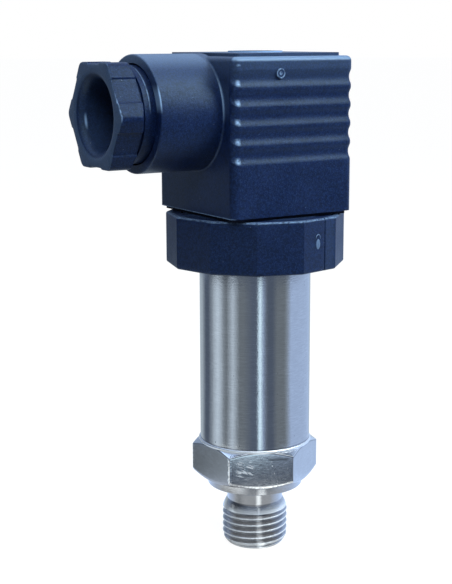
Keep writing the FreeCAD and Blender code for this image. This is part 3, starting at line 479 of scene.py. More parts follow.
def thread_painted_light(look, tint, colour, white):
    """Painted shade in the thread's roots and painted highlights on its crests. Returns the crests'
    mask too.
    """
    x, y, z = look.coordinates()
    # The tip and the flank fall away from the thread's outer radius
    tip = look.math("POWER", look.ranged(z, TIP_START, STUD_END, 0.0, 1.0), 2.0)
    flank = look.math("POWER", look.ranged(z, FLANK_START, NECK_START, 0.0, 1.0), 1.4)
    grown = look.math("ADD", look.reach(x, y), look.math("MULTIPLY", tip, 1.18))
    grown = look.math("ADD", grown, look.math("MULTIPLY", flank, 0.98))
    thread = look.below(z, -4.2, 0.4)
    # Painted shade in the roots
    root_shade = look.both(thread, look.ranged(grown, 5.9, 6.4, 1.0, 0.0))
    tint = look.mix(look.math("MULTIPLY", root_shade, 0.28), tint, shade(colour, 0.2))
    # Painted highlights on the crests
    crest_highlights = look.both(thread, look.above(grown, 6.48, 0.04))
    return look.mix(crest_highlights, tint, white), crest_highlights


def neck_highlights(look):
    """Painted highlights over the thread: a line round it, a patch at its left, a streak and a
    faint sheen on the neck.
    """
    x, y, z = look.coordinates()
    side = look.along(x, y, CAMERA_SIDE + 90)
    near = look.above(look.along(x, y, CAMERA_SIDE), 1.5, 1.0)
    neck = look.band(z, -4.6, 0.8, 0.15)
    line = look.math("MULTIPLY", look.band(z, -4.95, 0.16, 0.1), 0.9)
    patch = look.both(look.band(side, -4.5, 0.3, 0.3), neck)
    streak = look.both(look.band(side, 0.7, 0.35, 0.3), neck)
    sheen = look.math("MULTIPLY", neck, 0.25)
    return look.both(look.highest(line, patch, streak, sheen), near)


def flat_scuffs(look, across, up, flat):
    """Dots and slanting strokes on the flat that faces the camera."""
    dots = look.both(flat, look.ranged(look.noise(0.4, 1.0), 0.76, 0.79, 0.0, 1.0))
    slant = look.node("ShaderNodeCombineXYZ", {
        "X": look.math("MULTIPLY", look.math("ADD", across, up), 0.25),
        "Y": look.math("ADD", up, look.math("MULTIPLY", across, 0.35)),
    }).outputs["Vector"]
    strokes = look.noise(500.0, 2.0, 0.5, place=slant)
    strokes = look.both(
        flat,
        look.band(across, -3.2, 1.4, 0.6),
        look.band(up, 6.0, 1.7, 0.6),
        look.ranged(strokes, 0.51, 0.60, 0.0, 1.0),
    )
    return look.highest(dots, strokes)


def hexagon_highlights_and_scuffs(look, tint, colour, white):
    """The hexagon's painted highlights on its upper chamfer, its flat's lower edge and its corners,
    painted shade under the chamfer, a short painted shadow on the flat, and its scuffs. Returns the
    scuffs and the scuffed flat too.
    """
    # Height over the lower chamfer and under the upper one
    x, y, z = look.coordinates()
    radius = look.reach(x, y)
    rise = look.math("MULTIPLY", look.math("SUBTRACT", radius, CHAMFER_RADIUS), CHAMFER_SLOPE)
    over = look.math("SUBTRACT", look.math("SUBTRACT", z, HEX_BOTTOM), rise)
    under = look.math("SUBTRACT", look.math("SUBTRACT", HEX_TOP, z), rise)
    body = look.both(look.above(z, HEX_BOTTOM + 0.05, 0.02), look.above(radius, 10.9, 0.02))
    # Painted highlight on the upper chamfer
    chamfer = look.both(body, look.below(under, 0.05, 0.03))
    tint = look.mix(chamfer, tint, white)
    # Painted shade just under the chamfer
    arc = look.both(body, look.band(under, 0.17, 0.06, 0.03))
    tint = look.mix(look.math("MULTIPLY", arc, 0.5), tint, shade(colour, 0.3))

    # The flat that faces the camera: across it towards the right, and out of it
    across = look.along(x, y, HEX_FRONT + 90)
    flat = look.above(look.along(x, y, HEX_FRONT), HEX_HALF - 0.1, 0.02)
    broken = look.ranged(look.noise(0.6, 3.0), 0.40, 0.55, 0.0, 1.0)
    # Painted highlights along the flat's lower edge and on the corners
    rim = look.both(flat, look.band(over, 0.16, 0.12, 0.05), broken)
    edge = look.both(body, look.above(radius, 12.44, 0.05), look.below(across, 0.0, 0.1), broken)
    tint = look.mix(rim, tint, white)
    tint = look.mix(edge, tint, white)
    # Painted shadow on the flat
    shadow = look.both(flat, look.band(across, 3.4, 1.9, 0.3), look.band(z, 7.9, 0.25, 0.15))
    tint = look.mix(look.math("MULTIPLY", shadow, 0.6), tint, shade(colour, 0.25))
    scuffs = flat_scuffs(look, across, z, flat)
    tint = look.mix(scuffs, tint, white)
    return tint, scuffs, flat


def turned_stud(name):
    """The process connection: painted highlights on the thread's crests over painted shade in its
    roots, painted highlights on the neck and hexagon, and a scuffed spanner flat.
    """
    look = Surface(name)
    colour = linear(205, 205, 208)
    # Near-white for the painted highlights and the scuffs
    white = linear(250, 251, 253)
    tint, lines = tool_marks(look, colour, 0.12, 8.0)
    tint, crest_highlights = thread_painted_light(look, tint, colour, white)
    # Painted highlights on the neck
    bright = neck_highlights(look)
    tint = look.mix(bright, tint, white)
    tint, scuffs, flat = hexagon_highlights_and_scuffs(look, tint, colour, white)

    rough = look.ranged(lines, 0.3, 0.7, 0.10, 0.19)
    rough = look.math("ADD", rough, look.math("MULTIPLY", scuffs, 0.25))
    normal = look.bump(look.both(look.noise(0.8, 3.0, 0.6), flat), 0.010)
    normal = look.bump(look.noise(0.35, 2.0), 0.002, 1.0, normal)
    normal = look.bump(lines, 0.004, 1.0, normal)
    # Less metallic where highlights are painted and where the scuffs are, so their white shows
    dull = look.highest(scuffs, bright, look.math("MULTIPLY", crest_highlights, 0.7))
    metal = look.ranged(dull, 0.0, 1.0, 1.0, 0.3)
    return look.principled(base_color=tint, metallic=metal, roughness=rough, normal=normal)


def plain(name, colour, roughness, specular=0.4, metallic=0.0, size_mm=0.4, depth=0.01, vary=0.1):
    """A finish of one colour with cloudy variation and a fine grain."""
    look = Surface(name)
    cloud = look.noise(size_mm * 8, 3.0)
    grain = look.noise(size_mm, 3.0)
    tint = look.mix(
        look.ranged(cloud, 0.3, 0.7, 0.0, 1.0), shade(colour, 1 - vary), shade(colour, 1 + vary)
    )
    rough = look.ranged(grain, 0.3, 0.7, roughness * 0.85, roughness * 1.15)
    return look.principled(
        base_color=tint, metallic=metallic, roughness=rough,
        specular_ior_level=specular, normal=look.bump(grain, depth, 0.7),
    )


FINISHES = {
    "cover_plastic": moulded("moulded_cover", linear(6, 20, 60), 0.36, cover_painted_light),
    "ring_plastic": moulded("moulded_ring", linear(5, 18, 58), 0.42, ring_highlights_and_pale_mark),
    "nut_plastic": moulded("moulded_nut", linear(5, 17, 54), 0.38, nut_painted_light, 0.32),
    "base_plastic": moulded("moulded_base", linear(18, 32, 62), 0.45, base_wear),
    "stainless_tube": turned_tube("turned_tube"),
    "stainless_turned": turned_stud("turned_stud"),
    "gasket_rubber": plain("gasket_rubber", linear(14, 20, 42), 0.7, 0.2),
    "seal_rubber": plain("seal_rubber", linear(30, 31, 34), 0.6, 0.3),
    "inner_plastic": plain("pale_nylon", linear(188, 188, 184), 0.45),
    "ceramic": plain("fired_ceramic", linear(232, 228, 218), 0.5),
    "board_laminate": plain("solder_mask", linear(32, 96, 58), 0.35, 0.5),
    "chip_black": plain("chip_epoxy", linear(36, 36, 38), 0.55),
    "wire_coat": plain("wire_coat", linear(150, 40, 34), 0.35, 0.5),
    "tinned_brass": plain("tinned_brass", linear(214, 211, 200), 0.28, 0.5, 1.0, 0.25),
    "brass": plain("turned_brass", linear(214, 180, 110), 0.27, 0.5, 1.0, 0.25),
    "zinc_steel": plain("zinc_plate", linear(200, 204, 210), 0.3, 0.5, 1.0, 0.25),
}
for entry in frame["record"]["subparts"]:
    mesh = nodes[entry["node"]].data
    for index in range(len(mesh.materials)):
        mesh.materials[index] = FINISHES[entry["material_slot"]]


# The turned piece
THREAD_RADIUS = 6.5785
THREAD_PITCH = 1.337
THREAD_DEPTH = 0.640327 * THREAD_PITCH
THREAD_ROUND = 0.137329 * THREAD_PITCH
FLANK_ANGLE = math.radians(27.5)
# Height of one crest where the thread faces the camera
CREST_LEVEL = -6.092
# Above its start the thread is only a trace on the smooth shoulder
THREAD_START, THREAD_FADE, THREAD_TRACE = -4.95, 0.6, 0.12
# The tip is rounded with this radius, and the flank with this one about a ring-shaped centre
TIP_ROUND = 2.8338
FLANK_ROUND = 6.0
FLANK_CENTRE, FLANK_LEVEL = 0.7529, -6.8369


def thread_drop(along):
    """How far the thread's surface lies below its crest, along mm from the crest."""
    flank = THREAD_ROUND * math.cos(FLANK_ANGLE)
    if along < flank:
        return THREAD_ROUND - math.sqrt(THREAD_ROUND ** 2 - along ** 2)
    root = THREAD_PITCH / 2 - along
    if root < flank:
        return THREAD_DEPTH - THREAD_ROUND + math.sqrt(THREAD_ROUND ** 2 - root ** 2)
    return THREAD_ROUND * (1 - math.sin(FLANK_ANGLE)) + (along - flank) / math.tan(FLANK_ANGLE)


def stud_envelope(z):
    """Radius of the stud without its thread: rounded tip, cylinder, flank and neck."""
    if z < TIP_START:
        drop = math.sqrt(TIP_ROUND ** 2 - (z - TIP_START) ** 2)
        return THREAD_RADIUS - TIP_ROUND + drop
    if z < FLANK_START:
        return THREAD_RADIUS
    if z < NECK_START:
        return FLANK_CENTRE + math.sqrt(FLANK_ROUND ** 2 - (z - FLANK_LEVEL) ** 2)
    return NECK_RADIUS


def stud_radius(angle, z):
    """Radius of the stud with its thread."""
    turns = (angle - CAMERA_SIDE) / 360
    phase = ((z - CREST_LEVEL) / THREAD_PITCH - turns) % 1.0
    along = min(phase, 1 - phase) * THREAD_PITCH
    cut = min(max((THREAD_START - z) / THREAD_FADE, THREAD_TRACE), 1.0)
    return min(stud_envelope(z), THREAD_RADIUS - thread_drop(along) * cut)


def polygon_radius(angle, sides, half_width, turn, rounding):
    """Radius of a regular polygon with rounded corners, one corner at turn."""
    sector = 360 / sides
    off = (angle - turn) % sector
    off = math.radians(min(off, sector - off))
    half = math.radians(sector / 2)
    centre = (half_width - rounding) / math.cos(half)
    touch = math.atan2(rounding * math.sin(half), centre + rounding * math.cos(half))
    if off < touch:
        return centre * math.cos(off) + math.sqrt(rounding ** 2 - (centre * math.sin(off)) ** 2)
    return half_width / math.cos(half - off)


def sector_angles(sides, turn, rounding_angle, step):
    """Column angles: close together round each corner, even between the corners."""
    sector = 360 / sides
    near = [-2, -1.3, -1, -0.7, -0.35, 0, 0.35, 0.7, 1, 1.3, 2]
    between = round((sector - 4 * rounding_angle) / step)
    angles = []
    for side in range(sides):
        corner = turn + sector * side
        angles += [corner + share * rounding_angle for share in near]
        start = corner + 2 * rounding_angle
        gap = (sector - 4 * rounding_angle) / between
        angles += [start + gap * k for k in range(1, between)]
    return angles


def skin(name, rows, angles, material, turned=Matrix.Identity(4)):
    """A closed mesh from rows of (radius, z) per column angle, the last row joined to the first."""
    points = []
    for row in rows:
        for angle, (radius, z) in zip(angles, row):
            turn = math.radians(angle)
            points.append((radius * math.cos(turn) * MM, radius * math.sin(turn) * MM, z * MM))
    count = len(angles)
    faces = []
    for r in range(len(rows)):
        below = r * count
        above = (r + 1) % len(rows) * count
        for c in range(count):
            d = (c + 1) % count
            faces.append((below + c, below + d, above + d, above + c))
    mesh = bpy.data.meshes.new(name)
    mesh.from_pydata(points, [], faces)
    mesh.transform(turned)
    mesh.materials.append(material)
    piece = bpy.data.objects.new(name, mesh)
    bpy.context.scene.collection.objects.link(piece)
    return smooth(piece)


SHARP_ANGLE = math.radians(32)


def smooth(piece):
    """Smooth faces with sharp edges where they turn by more than SHARP_ANGLE."""
    mesh = piece.data
    mesh.polygons.foreach_set("use_smooth", [True] * len(mesh.polygons))
    mesh.set_sharp_from_angle(angle=SHARP_ANGLE)
    weighted = piece.modifiers.new("even_normals", "WEIGHTED_NORMAL")
    weighted.keep_sharp = True
    weighted.weight = 80
    return piece


# The sealing flange, the spigot that the tube slides on, and the seats bored into it
FLANGE_RADIUS = 9.5
SPIGOT_RADIUS, SPIGOT_TOP = 10.0, stud_high.z
SOCKET_RADIUS, CELL_SEAT = 7.5, 3.5
GROOVE_OUTSIDE, GROOVE_INSIDE, GROOVE_FLOOR = 6.7, 4.7, 2.1
PORT_RADIUS = 2.0


def make_process_connection():
    """The stud with its thread, the flange, the scalloped hexagon and the cell's seat."""
    angles = sector_angles(HEX_SIDES, HEX_TURN, 0.42, 2.6)
    rows = []

    def level(radius, z):
        rows.append([(radius, z)] * len(angles))

    def hexagon(offset, z_of):
        row = []
        for angle in angles:
            radius = polygon_radius(angle, HEX_SIDES, HEX_HALF, HEX_TURN, 0.25) - offset
            row.append((radius, z_of(radius)))
        rows.append(row)

    def bottom_chamfer(radius):
        return HEX_BOTTOM + max(0.0, radius - CHAMFER_RADIUS) * CHAMFER_SLOPE

    def top_chamfer(radius):
        return HEX_TOP - max(0.0, radius - CHAMFER_RADIUS) * CHAMFER_SLOPE

    for radius in (PORT_RADIUS, PORT_RADIUS + 0.3, 5.2):
        level(radius, STUD_END)
    steps = 132
    for step in range(steps + 1):
        z = STUD_END + (NECK_START - STUD_END) * step / steps
        rows.append([(stud_radius(angle, z), z) for angle in angles])
    level(NECK_RADIUS, NECK_START + 0.2)
    level(NECK_RADIUS, -0.3)
    level(NECK_RADIUS + 0.03, -0.12)
    for radius in (NECK_RADIUS + 0.15, 6.3, FLANGE_RADIUS - 0.4):
        level(radius, 0.0)
    level(FLANGE_RADIUS - 0.12, 0.03)
    for z in (0.15, 0.4, HEX_BOTTOM):
        level(FLANGE_RADIUS, z)
    level(10.2, HEX_BOTTOM)
    level(10.85, HEX_BOTTOM)
    hexagon(0.12, bottom_chamfer)
    hexagon(0.03, lambda r: bottom_chamfer(r) + 0.05)
    hexagon(0.0, lambda r: bottom_chamfer(r) + 0.16)
    hexagon(0.0, lambda r: bottom_chamfer(r) + 0.5)
    hexagon(0.0, lambda r: top_chamfer(r) - 0.5)
    hexagon(0.0, lambda r: top_chamfer(r) - 0.16)
    hexagon(0.03, lambda r: top_chamfer(r) - 0.05)
    hexagon(0.12, top_chamfer)
    level(10.85, HEX_TOP)
    level(SPIGOT_RADIUS, HEX_TOP)
    level(SPIGOT_RADIUS, SPIGOT_TOP)
    level(SOCKET_RADIUS, SPIGOT_TOP)
    level(SOCKET_RADIUS, CELL_SEAT)
    level(GROOVE_OUTSIDE, CELL_SEAT)
    level(GROOVE_OUTSIDE, GROOVE_FLOOR)
    level(GROOVE_INSIDE, GROOVE_FLOOR)
    level(GROOVE_INSIDE, CELL_SEAT)
    level(PORT_RADIUS, CELL_SEAT)
    piece = skin("process_connection_turned", rows, angles, FINISHES["stainless_turned"])
    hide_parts("process_connection")
    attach(piece, "transmitter")


def make_body_tube():
    """The tube with its outward collar, and a rounded weld bead at its foot."""
    outside, inside = TUBE_RADIUS, SPIGOT_RADIUS
    collar = 14.0
    collar_bottom = 48.2
    bead, bead_middle = 0.33, 9.42
    count = 180
    angles = [360 * k / count for k in range(count)]
    outline = [(inside, HEX_TOP), (outside, HEX_TOP), (outside + 0.2, 9.16)]
    for step in range(9):
        turn = math.radians(-40 + 130 * step / 8)
        outline.append(
            (outside + bead * math.cos(turn), bead_middle + bead * math.sin(turn))
        )
    outline += [(outside, BEAD_TOP), (outside, 20.0), (outside, 40.0), (outside, collar_bottom)]
    outline += [(collar, collar_bottom), (collar, TUBE_TOP), (inside, TUBE_TOP)]
    rows = [[corner] * count for corner in outline]
    piece = skin("body_tube_turned", rows, angles, FINISHES["stainless_tube"])
    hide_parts("body_tube")
    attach(piece, "transmitter")


# The seam runs down its flat this far to the right of the flat's middle
SEAM_OFFSET = 1.42
SEAM_WIDTH = 0.36
SEAM_DEPTH = 0.30


def ring_radius(angle):
    """The ring's outline, with the seam's groove and the flat a little lower beside it."""
    radius = polygon_radius(angle, RING_SIDES, RING_HALF, RING_TURN, 0.25)
    off = (angle - SEAM_FLAT + 180) % 360 - 180
    if abs(off) < 14:
        side = radius * math.sin(math.radians(off)) - SEAM_OFFSET
        if abs(side) < SEAM_WIDTH / 2:
            radius -= SEAM_DEPTH * (1 + math.cos(2 * math.pi * side / SEAM_WIDTH)) / 2
        if side > 0:
            radius -= 0.02 * side
    return radius


def make_collar_ring():
    """The moulded union ring with eased edges and a mould seam."""
    bore, thread, lip_top, edge = 11.35, 14.504, 47.4, 0.35
    angles = sector_angles(RING_SIDES, RING_TURN, 0.25, 3.0)
    middle = SEAM_FLAT + math.degrees(math.asin(SEAM_OFFSET / RING_HALF))
    angles += [middle + 0.1 * step for step in range(-5, 6)]
    angles = sorted(set(angle % 360 for angle in angles))
    rows = []

    def level(radius, z):
        rows.append([(radius, z)] * len(angles))

    def outer(offset, z):
        rows.append([(ring_radius(angle) - offset, z) for angle in angles])

    level(bore, lip_top)
    level(bore, RING_BOTTOM)
    level(15.5, RING_BOTTOM)
    for inset, rise in ((1.0, 0.0), (0.55, 0.2), (0.25, 0.55), (0.0, 1.0)):
        outer(edge * inset, RING_BOTTOM + edge * rise)
    outer(0.0, RING_BOTTOM + 1.0)
    outer(0.0, RING_TOP - 1.0)
    for inset, rise in ((0.0, 1.0), (0.25, 0.55), (0.55, 0.2), (1.0, 0.0)):
        outer(edge * inset, RING_TOP - edge * rise)
    level(15.5, RING_TOP)
    level(thread, RING_TOP)
    level(thread, lip_top)
    piece = skin("collar_ring_moulded", rows, angles, FINISHES["ring_plastic"])
    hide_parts("collar_ring")
    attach(piece, "union_ring")


# The nut's hexagon: half its width, its turn, its corners' rounding, the step in its flats,
# and its back
NUT_HALF = 9.55
NUT_TURN = 30.0
NUT_CORNER = 1.5
NUT_STEP_HALF = 2.4
NUT_STEP_DEPTH = 0.28
NUT_BACK = 29.6


def nut_radius(angle):
    """The hexagon's radius, with a shallow step along the middle of each flat."""
    radius = polygon_radius(angle, HEX_SIDES, NUT_HALF, NUT_TURN, NUT_CORNER)
    off = (angle - NUT_TURN) % 60 - 30
    side = abs(radius * math.sin(math.radians(off)))
    step = min(max((NUT_STEP_HALF + 0.08 - side) / 0.16, 0.0), 1.0)
    return radius - NUT_STEP_DEPTH * step


def nut_angles():
    """Column angles: close together at the steps' sides and round the corners."""
    angles = []
    step_angle = math.degrees(math.asin(NUT_STEP_HALF / NUT_HALF))
    for side in range(HEX_SIDES):
        middle = NUT_TURN + 30 + 60 * side
        for nudge in (-0.7, -0.45, 0.45, 0.7):
            angles += [middle - step_angle - nudge, middle + step_angle + nudge]
        angles += [middle + 3.0 * k for k in range(-4, 5)]
        angles += [middle + 30 + 1.5 * k for k in range(-8, 9)]
    return sorted(set(round(angle % 360, 4) for angle in angles))


def make_gland_nut():
    """The gland's pressing screw with a wide, rounded mouth."""
    bore, shank, collar, neck = 6.55, 9.0, 9.1, 8.7
    mouth_width, mouth_depth = 1.7, 2.2
    angles = nut_angles()
    rows = []

    def level(radius, z):
        rows.append([(radius, z)] * len(angles))

    def outer(offset, z_of):
        row = []
        for angle in angles:
            radius = nut_radius(angle) - offset
            row.append((radius, z_of(radius)))
        rows.append(row)

    def back(radius):
        return NUT_BACK + max(0.0, radius - 9.75) * CHAMFER_SLOPE

    level(bore, SHANK_END)
    level(shank, SHANK_END)
    level(shank, 28.0)
    level(collar, 28.05)
    level(collar, 29.05)
    level(neck, 29.1)
    level(neck, NUT_BACK)
    outer(0.25, back)
    outer(0.08, lambda radius: back(radius) + 0.07)
    outer(0.0, lambda radius: back(radius) + 0.25)
    outer(0.0, lambda radius: NUT_FRONT - 0.4)
    outer(0.10, lambda radius: NUT_FRONT - 0.14)
    outer(0.35, lambda radius: NUT_FRONT)
    level(bore + mouth_width + 0.1, NUT_FRONT)
    for step in range(9):
        turn = math.radians(90 * step / 8)
        level(
            bore + mouth_width * (1 - math.sin(turn)),
            NUT_FRONT - mouth_depth * (1 - math.cos(turn)),
        )
    laid = Matrix.Translation((0, 0, GLAND_HEIGHT * MM)) @ Matrix.Rotation(-math.pi / 2, 4, "Y")
    piece = skin("gland_nut_moulded", rows, angles, FINISHES["nut_plastic"], turned=laid)
    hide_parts("gland_nut")
    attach(piece, "gland_screw")


def on_face(place, azimuth):
    """A frame on a wall: its Z points out of the wall towards the azimuth, its Y up."""
    return (
        Matrix.Translation(Vector(place) * MM)
        @ Matrix.Rotation(math.radians(azimuth + 90), 4, "Z")
        @ Matrix.Rotation(math.pi / 2, 4, "X")
    )


def make_gate_mark():
    """The round mark that the moulding leaves on the grip face."""
    count = 32
    angles = [360 * k / count for k in range(count)]
    outline = [
        (0.05, -0.3), (0.95, -0.3), (0.95, 0.02), (0.85, 0.09), (0.72, 0.08), (0.62, -0.02),
        (0.4, -0.02), (0.3, 0.05), (0.05, 0.06),
    ]
    rows = [[corner] * count for corner in outline]
    turned = on_face((GATE_ALONG, GRIP_FACE, GATE_HEIGHT), 270)
    piece = skin("gate_mark", rows, angles, FINISHES["cover_plastic"], turned=turned)
    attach(piece, "plug")


# The mark on the ring: how far left of its flat's middle, and how high
MARK_LEFT, MARK_HEIGHT = 0.59, 50.75


def make_arc(turned):
    """A short raised arc over the ring's oval pad."""
    arc_radius, arc_rise = 0.6, 1.2
    arc_turns = [math.radians(-20 + 200 * k / 16) for k in range(17)]
    profile = [(-0.09, -0.2), (0.09, -0.2), (0.09, 0.04), (0.0, 0.09), (-0.09, 0.04)]
    points = []
    for arc_turn in arc_turns:
        for wide, high in profile:
            reach = arc_radius + wide
            across = reach * math.cos(arc_turn)
            up = arc_rise + reach * math.sin(arc_turn)
            points.append((across * MM, up * MM, high * MM))
    size = len(profile)
    faces = []
    for k in range(len(arc_turns) - 1):
        for c in range(size):
            d = (c + 1) % size
            faces.append((k * size + c, k * size + d, (k + 1) * size + d, (k + 1) * size + c))
    faces.append(tuple(reversed(range(size))))
    faces.append(tuple(range(len(points) - size, len(points))))
    mesh = bpy.data.meshes.new("ring_mark_arc")
    mesh.from_pydata(points, [], faces)
    mesh.transform(turned)
    mesh.materials.append(FINISHES["ring_plastic"])
    arc = bpy.data.objects.new("ring_mark_arc", mesh)
    bpy.context.scene.collection.objects.link(arc)
    return smooth(arc)


def make_ring_mark():
    """A small oval pad with a short arc over it, moulded on the ring."""
    turn = math.radians(SEAM_FLAT)
    out = Vector((math.cos(turn), math.sin(turn), 0.0))
    left = Vector((math.sin(turn), -math.cos(turn), 0.0))
    place = out * RING_HALF + left * MARK_LEFT + Vector((0, 0, MARK_HEIGHT))
    turned = on_face(place, SEAM_FLAT)
    count = 28
    angles = [360 * k / count for k in range(count)]
    outline = [(0.05, -0.3), (0.58, -0.3), (0.58, 0.03), (0.5, 0.08), (0.05, 0.08)]
    rows = [[corner] * count for corner in outline]
    pad = skin("ring_mark_pad", rows, angles, FINISHES["ring_plastic"],
               turned=turned @ Matrix.Diagonal((1.0, 1.7, 1.0, 1.0)))
    arc = make_arc(turned)
    for piece in (pad, arc):
        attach(piece, "union_ring")


make_process_connection()
make_body_tube()
make_collar_ring()
make_gland_nut()
make_gate_mark()
make_ring_mark()


# Camera: its place in m, and its turns in degrees
CAMERA_PLACE = Vector((-0.139316, -0.213713, 0.089231))
CAMERA_YAW = 31.808
CAMERA_PITCH = 11.091
CAMERA_ROLL = -0.178


def make_camera():
    """The camera, with the lens and the place that give the view's framing."""
    data = bpy.data.cameras.new("camera")
    data.lens = 80.55
    data.sensor_width = 36.0
    data.clip_start = 0.01
    data.clip_end = 50.0
    camera = bpy.data.objects.new("camera", data)
    turn = (
        Matrix.Rotation(math.radians(-CAMERA_YAW), 4, "Z")
        @ Matrix.Rotation(math.radians(90 - CAMERA_PITCH), 4, "X")
        @ Matrix.Rotation(math.radians(CAMERA_ROLL), 4, "Z")
    )
    camera.matrix_world = Matrix.Translation(CAMERA_PLACE) @ turn
    bpy.context.scene.collection.objects.link(camera)
    bpy.context.scene.camera = camera


# Stage
FLOOR_LEVEL = cad_low.z


def link_object(name, mesh):
    """An object of the mesh, in the scene."""
    made = bpy.data.objects.new(name, mesh)
    bpy.context.scene.collection.objects.link(made)
    return made


def circle_points(radius, level, count):
    """Points on a level circle about the axis, in m."""
    turns = [2 * math.pi * k / count for k in range(count)]
    return [(radius * math.cos(turn), radius * math.sin(turn), level) for turn in turns]


def disc(name, radius, level, count=96):
    """A flat disc with a hub point."""
    points = [(0.0, 0.0, level)] + circle_points(radius, level, count)
    faces = [(0, k + 1, (k + 1) % count + 1) for k in range(count)]
    mesh = bpy.data.meshes.new(name)
    mesh.from_pydata(points, [], faces)
    return link_object(name, mesh)


def seen_directly(look):
    """1 for rays that should meet the white background: from the camera, gloss or glass."""
    path = look.node("ShaderNodeLightPath")
    seen = look.math("MAXIMUM", path.outputs["Is Camera Ray"], path.outputs["Is Glossy Ray"])
    return look.math("MAXIMUM", seen, path.outputs["Is Transmission Ray"])


def make_floor():
    """A pale floor that is white where it is seen and dim where it only lights the object."""
    floor = disc("floor", 6.0, FLOOR_LEVEL)
    look = Surface("pale_floor")
    glow = look.node("ShaderNodeEmission", {"Color": (1, 1, 1, 1), "Strength": 0.90})
    cloth = look.node("ShaderNodeBsdfDiffuse", {"Color": (0.20, 0.20, 0.20, 1)})
    white = look.node("ShaderNodeAddShader", {0: glow.outputs[0], 1: cloth.outputs[0]})
    pale = look.node("ShaderNodeBsdfDiffuse", {"Color": (0.16, 0.17, 0.19, 1)})
    mixed = look.node(
        "ShaderNodeMixShader",
        {0: seen_directly(look), 1: pale.outputs[0], 2: white.outputs[0]},
    )
    look.node("ShaderNodeOutputMaterial", {"Surface": mixed.outputs[0]})
    floor.data.materials.append(look.material)


# What the metal and the plastic mirror is a round screen and its base, lit as in a studio by
# pale strips and dark boards. Angle 0 is the camera's side, and angles grow to the right.
# Tints: red, green and blue against a light's level
GREY = (0.97, 1.0, 1.02)
PALE = (0.925, 1.0, 1.06)
BLUE = (0.885, 1.0, 1.17)

# Each zone of the screen has the room's light and then strips, each laid over those before.
# A light is a level, as steel shows it from 0 to 255, and a tint. A strip is its middle, its
# half width, how soft its sides are, and its light.
TUBE_ROOM = (158, PALE)
TUBE_STRIPS = [
    (110, 42, 8, 176, BLUE),
    (0, 68, 8, 110, PALE),
    (-116, 15, 9, 86, BLUE),
    (-82, 8, 7, 196, PALE),
    (-46, 7, 7, 186, PALE),
    (-2, 13, 9, 92, BLUE),
    (15, 5, 5, 150, BLUE),
    (9, 3.5, 3, 240, BLUE),
    (30, 9, 5, 87, BLUE),
]
# The base close to the object is what the hexagon mirrors
HEX_ROOM = (165, PALE)
HEX_STRIPS = [
    (100, 60, 20, 183, BLUE),
    (-110, 16, 12, 94, PALE),
    (11, 34, 13, 78, BLUE),
    (-52, 27, 13, 254, GREY),
]
# Closer still is what the flange, the neck and the stud mirror
STUD_ROOM = (198, BLUE)
STUD_STRIPS = [
    (-10, 100, 30, 150, GREY),
    (-64, 12, 10, 126, GREY),
    (14, 8, 4, 254, GREY),
]
# Level with the plastic the screen is dim in front and bright behind
LEVEL_ROOM = (164, BLUE)
LEVEL_STRIPS = [
    (-36, 128, 24, 84, BLUE),
    (-80, 28, 20, 46, BLUE),
    (-128, 14, 12, 124, BLUE),
]
# Higher up it is bright all round
HIGH_ROOM = (204, BLUE)
HIGH_STRIPS = [
    (60, 62, 55, 255, GREY),
    (121, 31, 10, 85, BLUE),
]
STEEL_WHITENESS = 0.6
# The screen's radius and top, and where its zones meet: by distance from the axis on the
# base, and by height on the wall, all in m
SCREEN_RADIUS = 0.15
SCREEN_TOP = 0.42
STUD_ZONE, HEX_ZONE_START = 0.0475, 0.0495
HEX_ZONE, TUBE_ZONE_START = 0.072, 0.078
LEVEL_START, LEVEL_END = 0.015, 0.021
HIGH_START, HIGH_END = 0.130, 0.240


def screen_light(level, tint):
    """The screen's own colour where steel shows a level and tint."""
    return shade(linear(*(min(level * part, 255) for part in tint)), 1 / STEEL_WHITENESS)


def zone_light(look, angle, room, strips):
    """The light of one zone of the screen, by angle from the camera's side."""
    light = screen_light(*room)
    for middle, half, soft, level, tint in strips:
        strip = look.band(angle, middle, half, soft)
        light = look.mix(strip, light, screen_light(level, tint))
    return light


def screen_mesh():
    """An open round wall on a flat base."""
    count = 144
    low = FLOOR_LEVEL + 0.0002
    points = circle_points(SCREEN_RADIUS, low, count)
    points += circle_points(SCREEN_RADIUS, SCREEN_TOP, count)
    points.append((0, 0, low))
    hub = 2 * count
    faces = []
    for k in range(count):
        d = (k + 1) % count
        faces += [(k, d, count + d, count + k), (hub, k, d)]
    mesh = bpy.data.meshes.new("card_screen")
    mesh.from_pydata(points, [], faces)
    return mesh


def screen_material():
    """The zones' lights, blended by distance on the base and by height on the wall."""
    look = Surface("card_light")
    place = look.node("ShaderNodeTexCoord").outputs["Object"]
    split = look.node("ShaderNodeSeparateXYZ", {"Vector": place}).outputs
    x, y, height = split["X"], split["Y"], split["Z"]
    turn = look.math("ADD", look.math("ARCTAN2", y, x), math.radians(540 - CAMERA_SIDE))
    share = look.math("FRACT", look.math("DIVIDE", turn, 2 * math.pi))
    angle = look.ranged(share, 0.0, 1.0, -180.0, 180.0)
    reach = look.reach(x, y)
    light = zone_light(look, angle, STUD_ROOM, STUD_STRIPS)
    for value, start, end, room, strips in (
        (reach, STUD_ZONE, HEX_ZONE_START, HEX_ROOM, HEX_STRIPS),
        (reach, HEX_ZONE, TUBE_ZONE_START, TUBE_ROOM, TUBE_STRIPS),
        (height, LEVEL_START, LEVEL_END, LEVEL_ROOM, LEVEL_STRIPS),
        (height, HIGH_START, HIGH_END, HIGH_ROOM, HIGH_STRIPS),
    ):
        beyond = look.ranged(value, start, end, 0.0, 1.0)
        light = look.mix(beyond, light, zone_light(look, angle, room, strips))
    glow = look.node("ShaderNodeEmission", {"Color": light, "Strength": 1.0})
    look.node("ShaderNodeOutputMaterial", {"Surface": glow.outputs[0]})
    return look.material


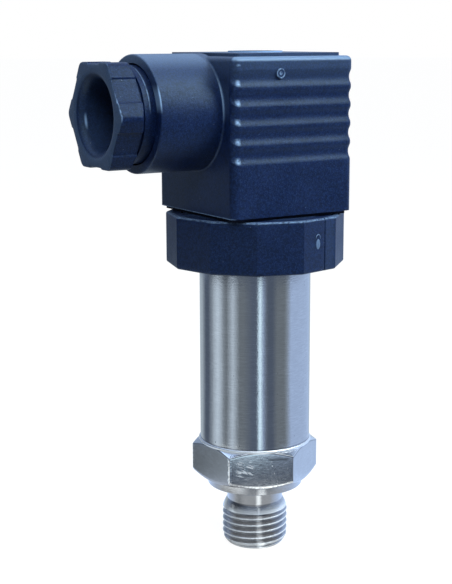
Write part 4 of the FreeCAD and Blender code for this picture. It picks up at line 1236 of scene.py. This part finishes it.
def make_screen():
    """The round screen, mirrored in the surfaces and otherwise unseen."""
    mesh = screen_mesh()
    mesh.materials.append(screen_material())
    screen = link_object("card_screen", mesh)
    screen.visible_camera = False
    screen.visible_diffuse = False
    screen.visible_transmission = False
    screen.visible_shadow = False
    screen.visible_volume_scatter = False


def make_world():
    """White where it is seen, and a soft cool light from above for the rest."""
    world = bpy.data.worlds.new("studio")
    world.use_nodes = True
    bpy.context.scene.world = world
    look = Surface("studio", world.node_tree)
    direction = look.node("ShaderNodeTexCoord").outputs["Generated"]
    height = look.node("ShaderNodeSeparateXYZ", {"Vector": direction}).outputs["Z"]
    strength = look.ranged(height, -0.7, 0.5, 0.13, 0.5)
    soft = look.node("ShaderNodeBackground", {"Color": (0.90, 0.95, 1, 1), "Strength": strength})
    white = look.node("ShaderNodeBackground", {"Color": (1, 1, 1, 1), "Strength": 1.0})
    mixed = look.node(
        "ShaderNodeMixShader",
        {0: seen_directly(look), 1: soft.outputs[0], 2: white.outputs[0]},
    )
    look.node("ShaderNodeOutputWorld", {"Surface": mixed.outputs[0]})


def make_softbox(name, place, target, width, energy, colour):
    """A square area lamp that points at the target."""
    data = bpy.data.lights.new(name, "AREA")
    data.shape = "SQUARE"
    data.size = width
    data.energy = energy
    data.color = colour
    lamp = bpy.data.objects.new(name, data)
    bpy.context.scene.collection.objects.link(lamp)
    lamp.matrix_world = (
        Matrix.Translation(Vector(place))
        @ (Vector(target) - Vector(place)).to_track_quat("-Z", "Y").to_matrix().to_4x4()
    )


make_camera()
make_floor()
make_screen()
make_world()
# Each lamp: its name, its place in m, its width and its power. All point at the plug.
PLUG_MIDDLE = (0.0, 0.0, 0.075)
LAMP_COLOUR = (0.80, 0.92, 1.0)
for name, place, width, power in (
    ("softbox_overhead", (0.0, -0.06, 0.52), 0.30, 0.30),
    ("softbox_right", (0.184, -0.212, 0.284), 0.12, 1.3),
    ("softbox_left", (-0.158, -0.226, 0.290), 0.12, 0.6),
):
    make_softbox(name, place, PLUG_MIDDLE, width, power, LAMP_COLOUR)
bpy.context.scene.view_settings.view_transform = "Standard"
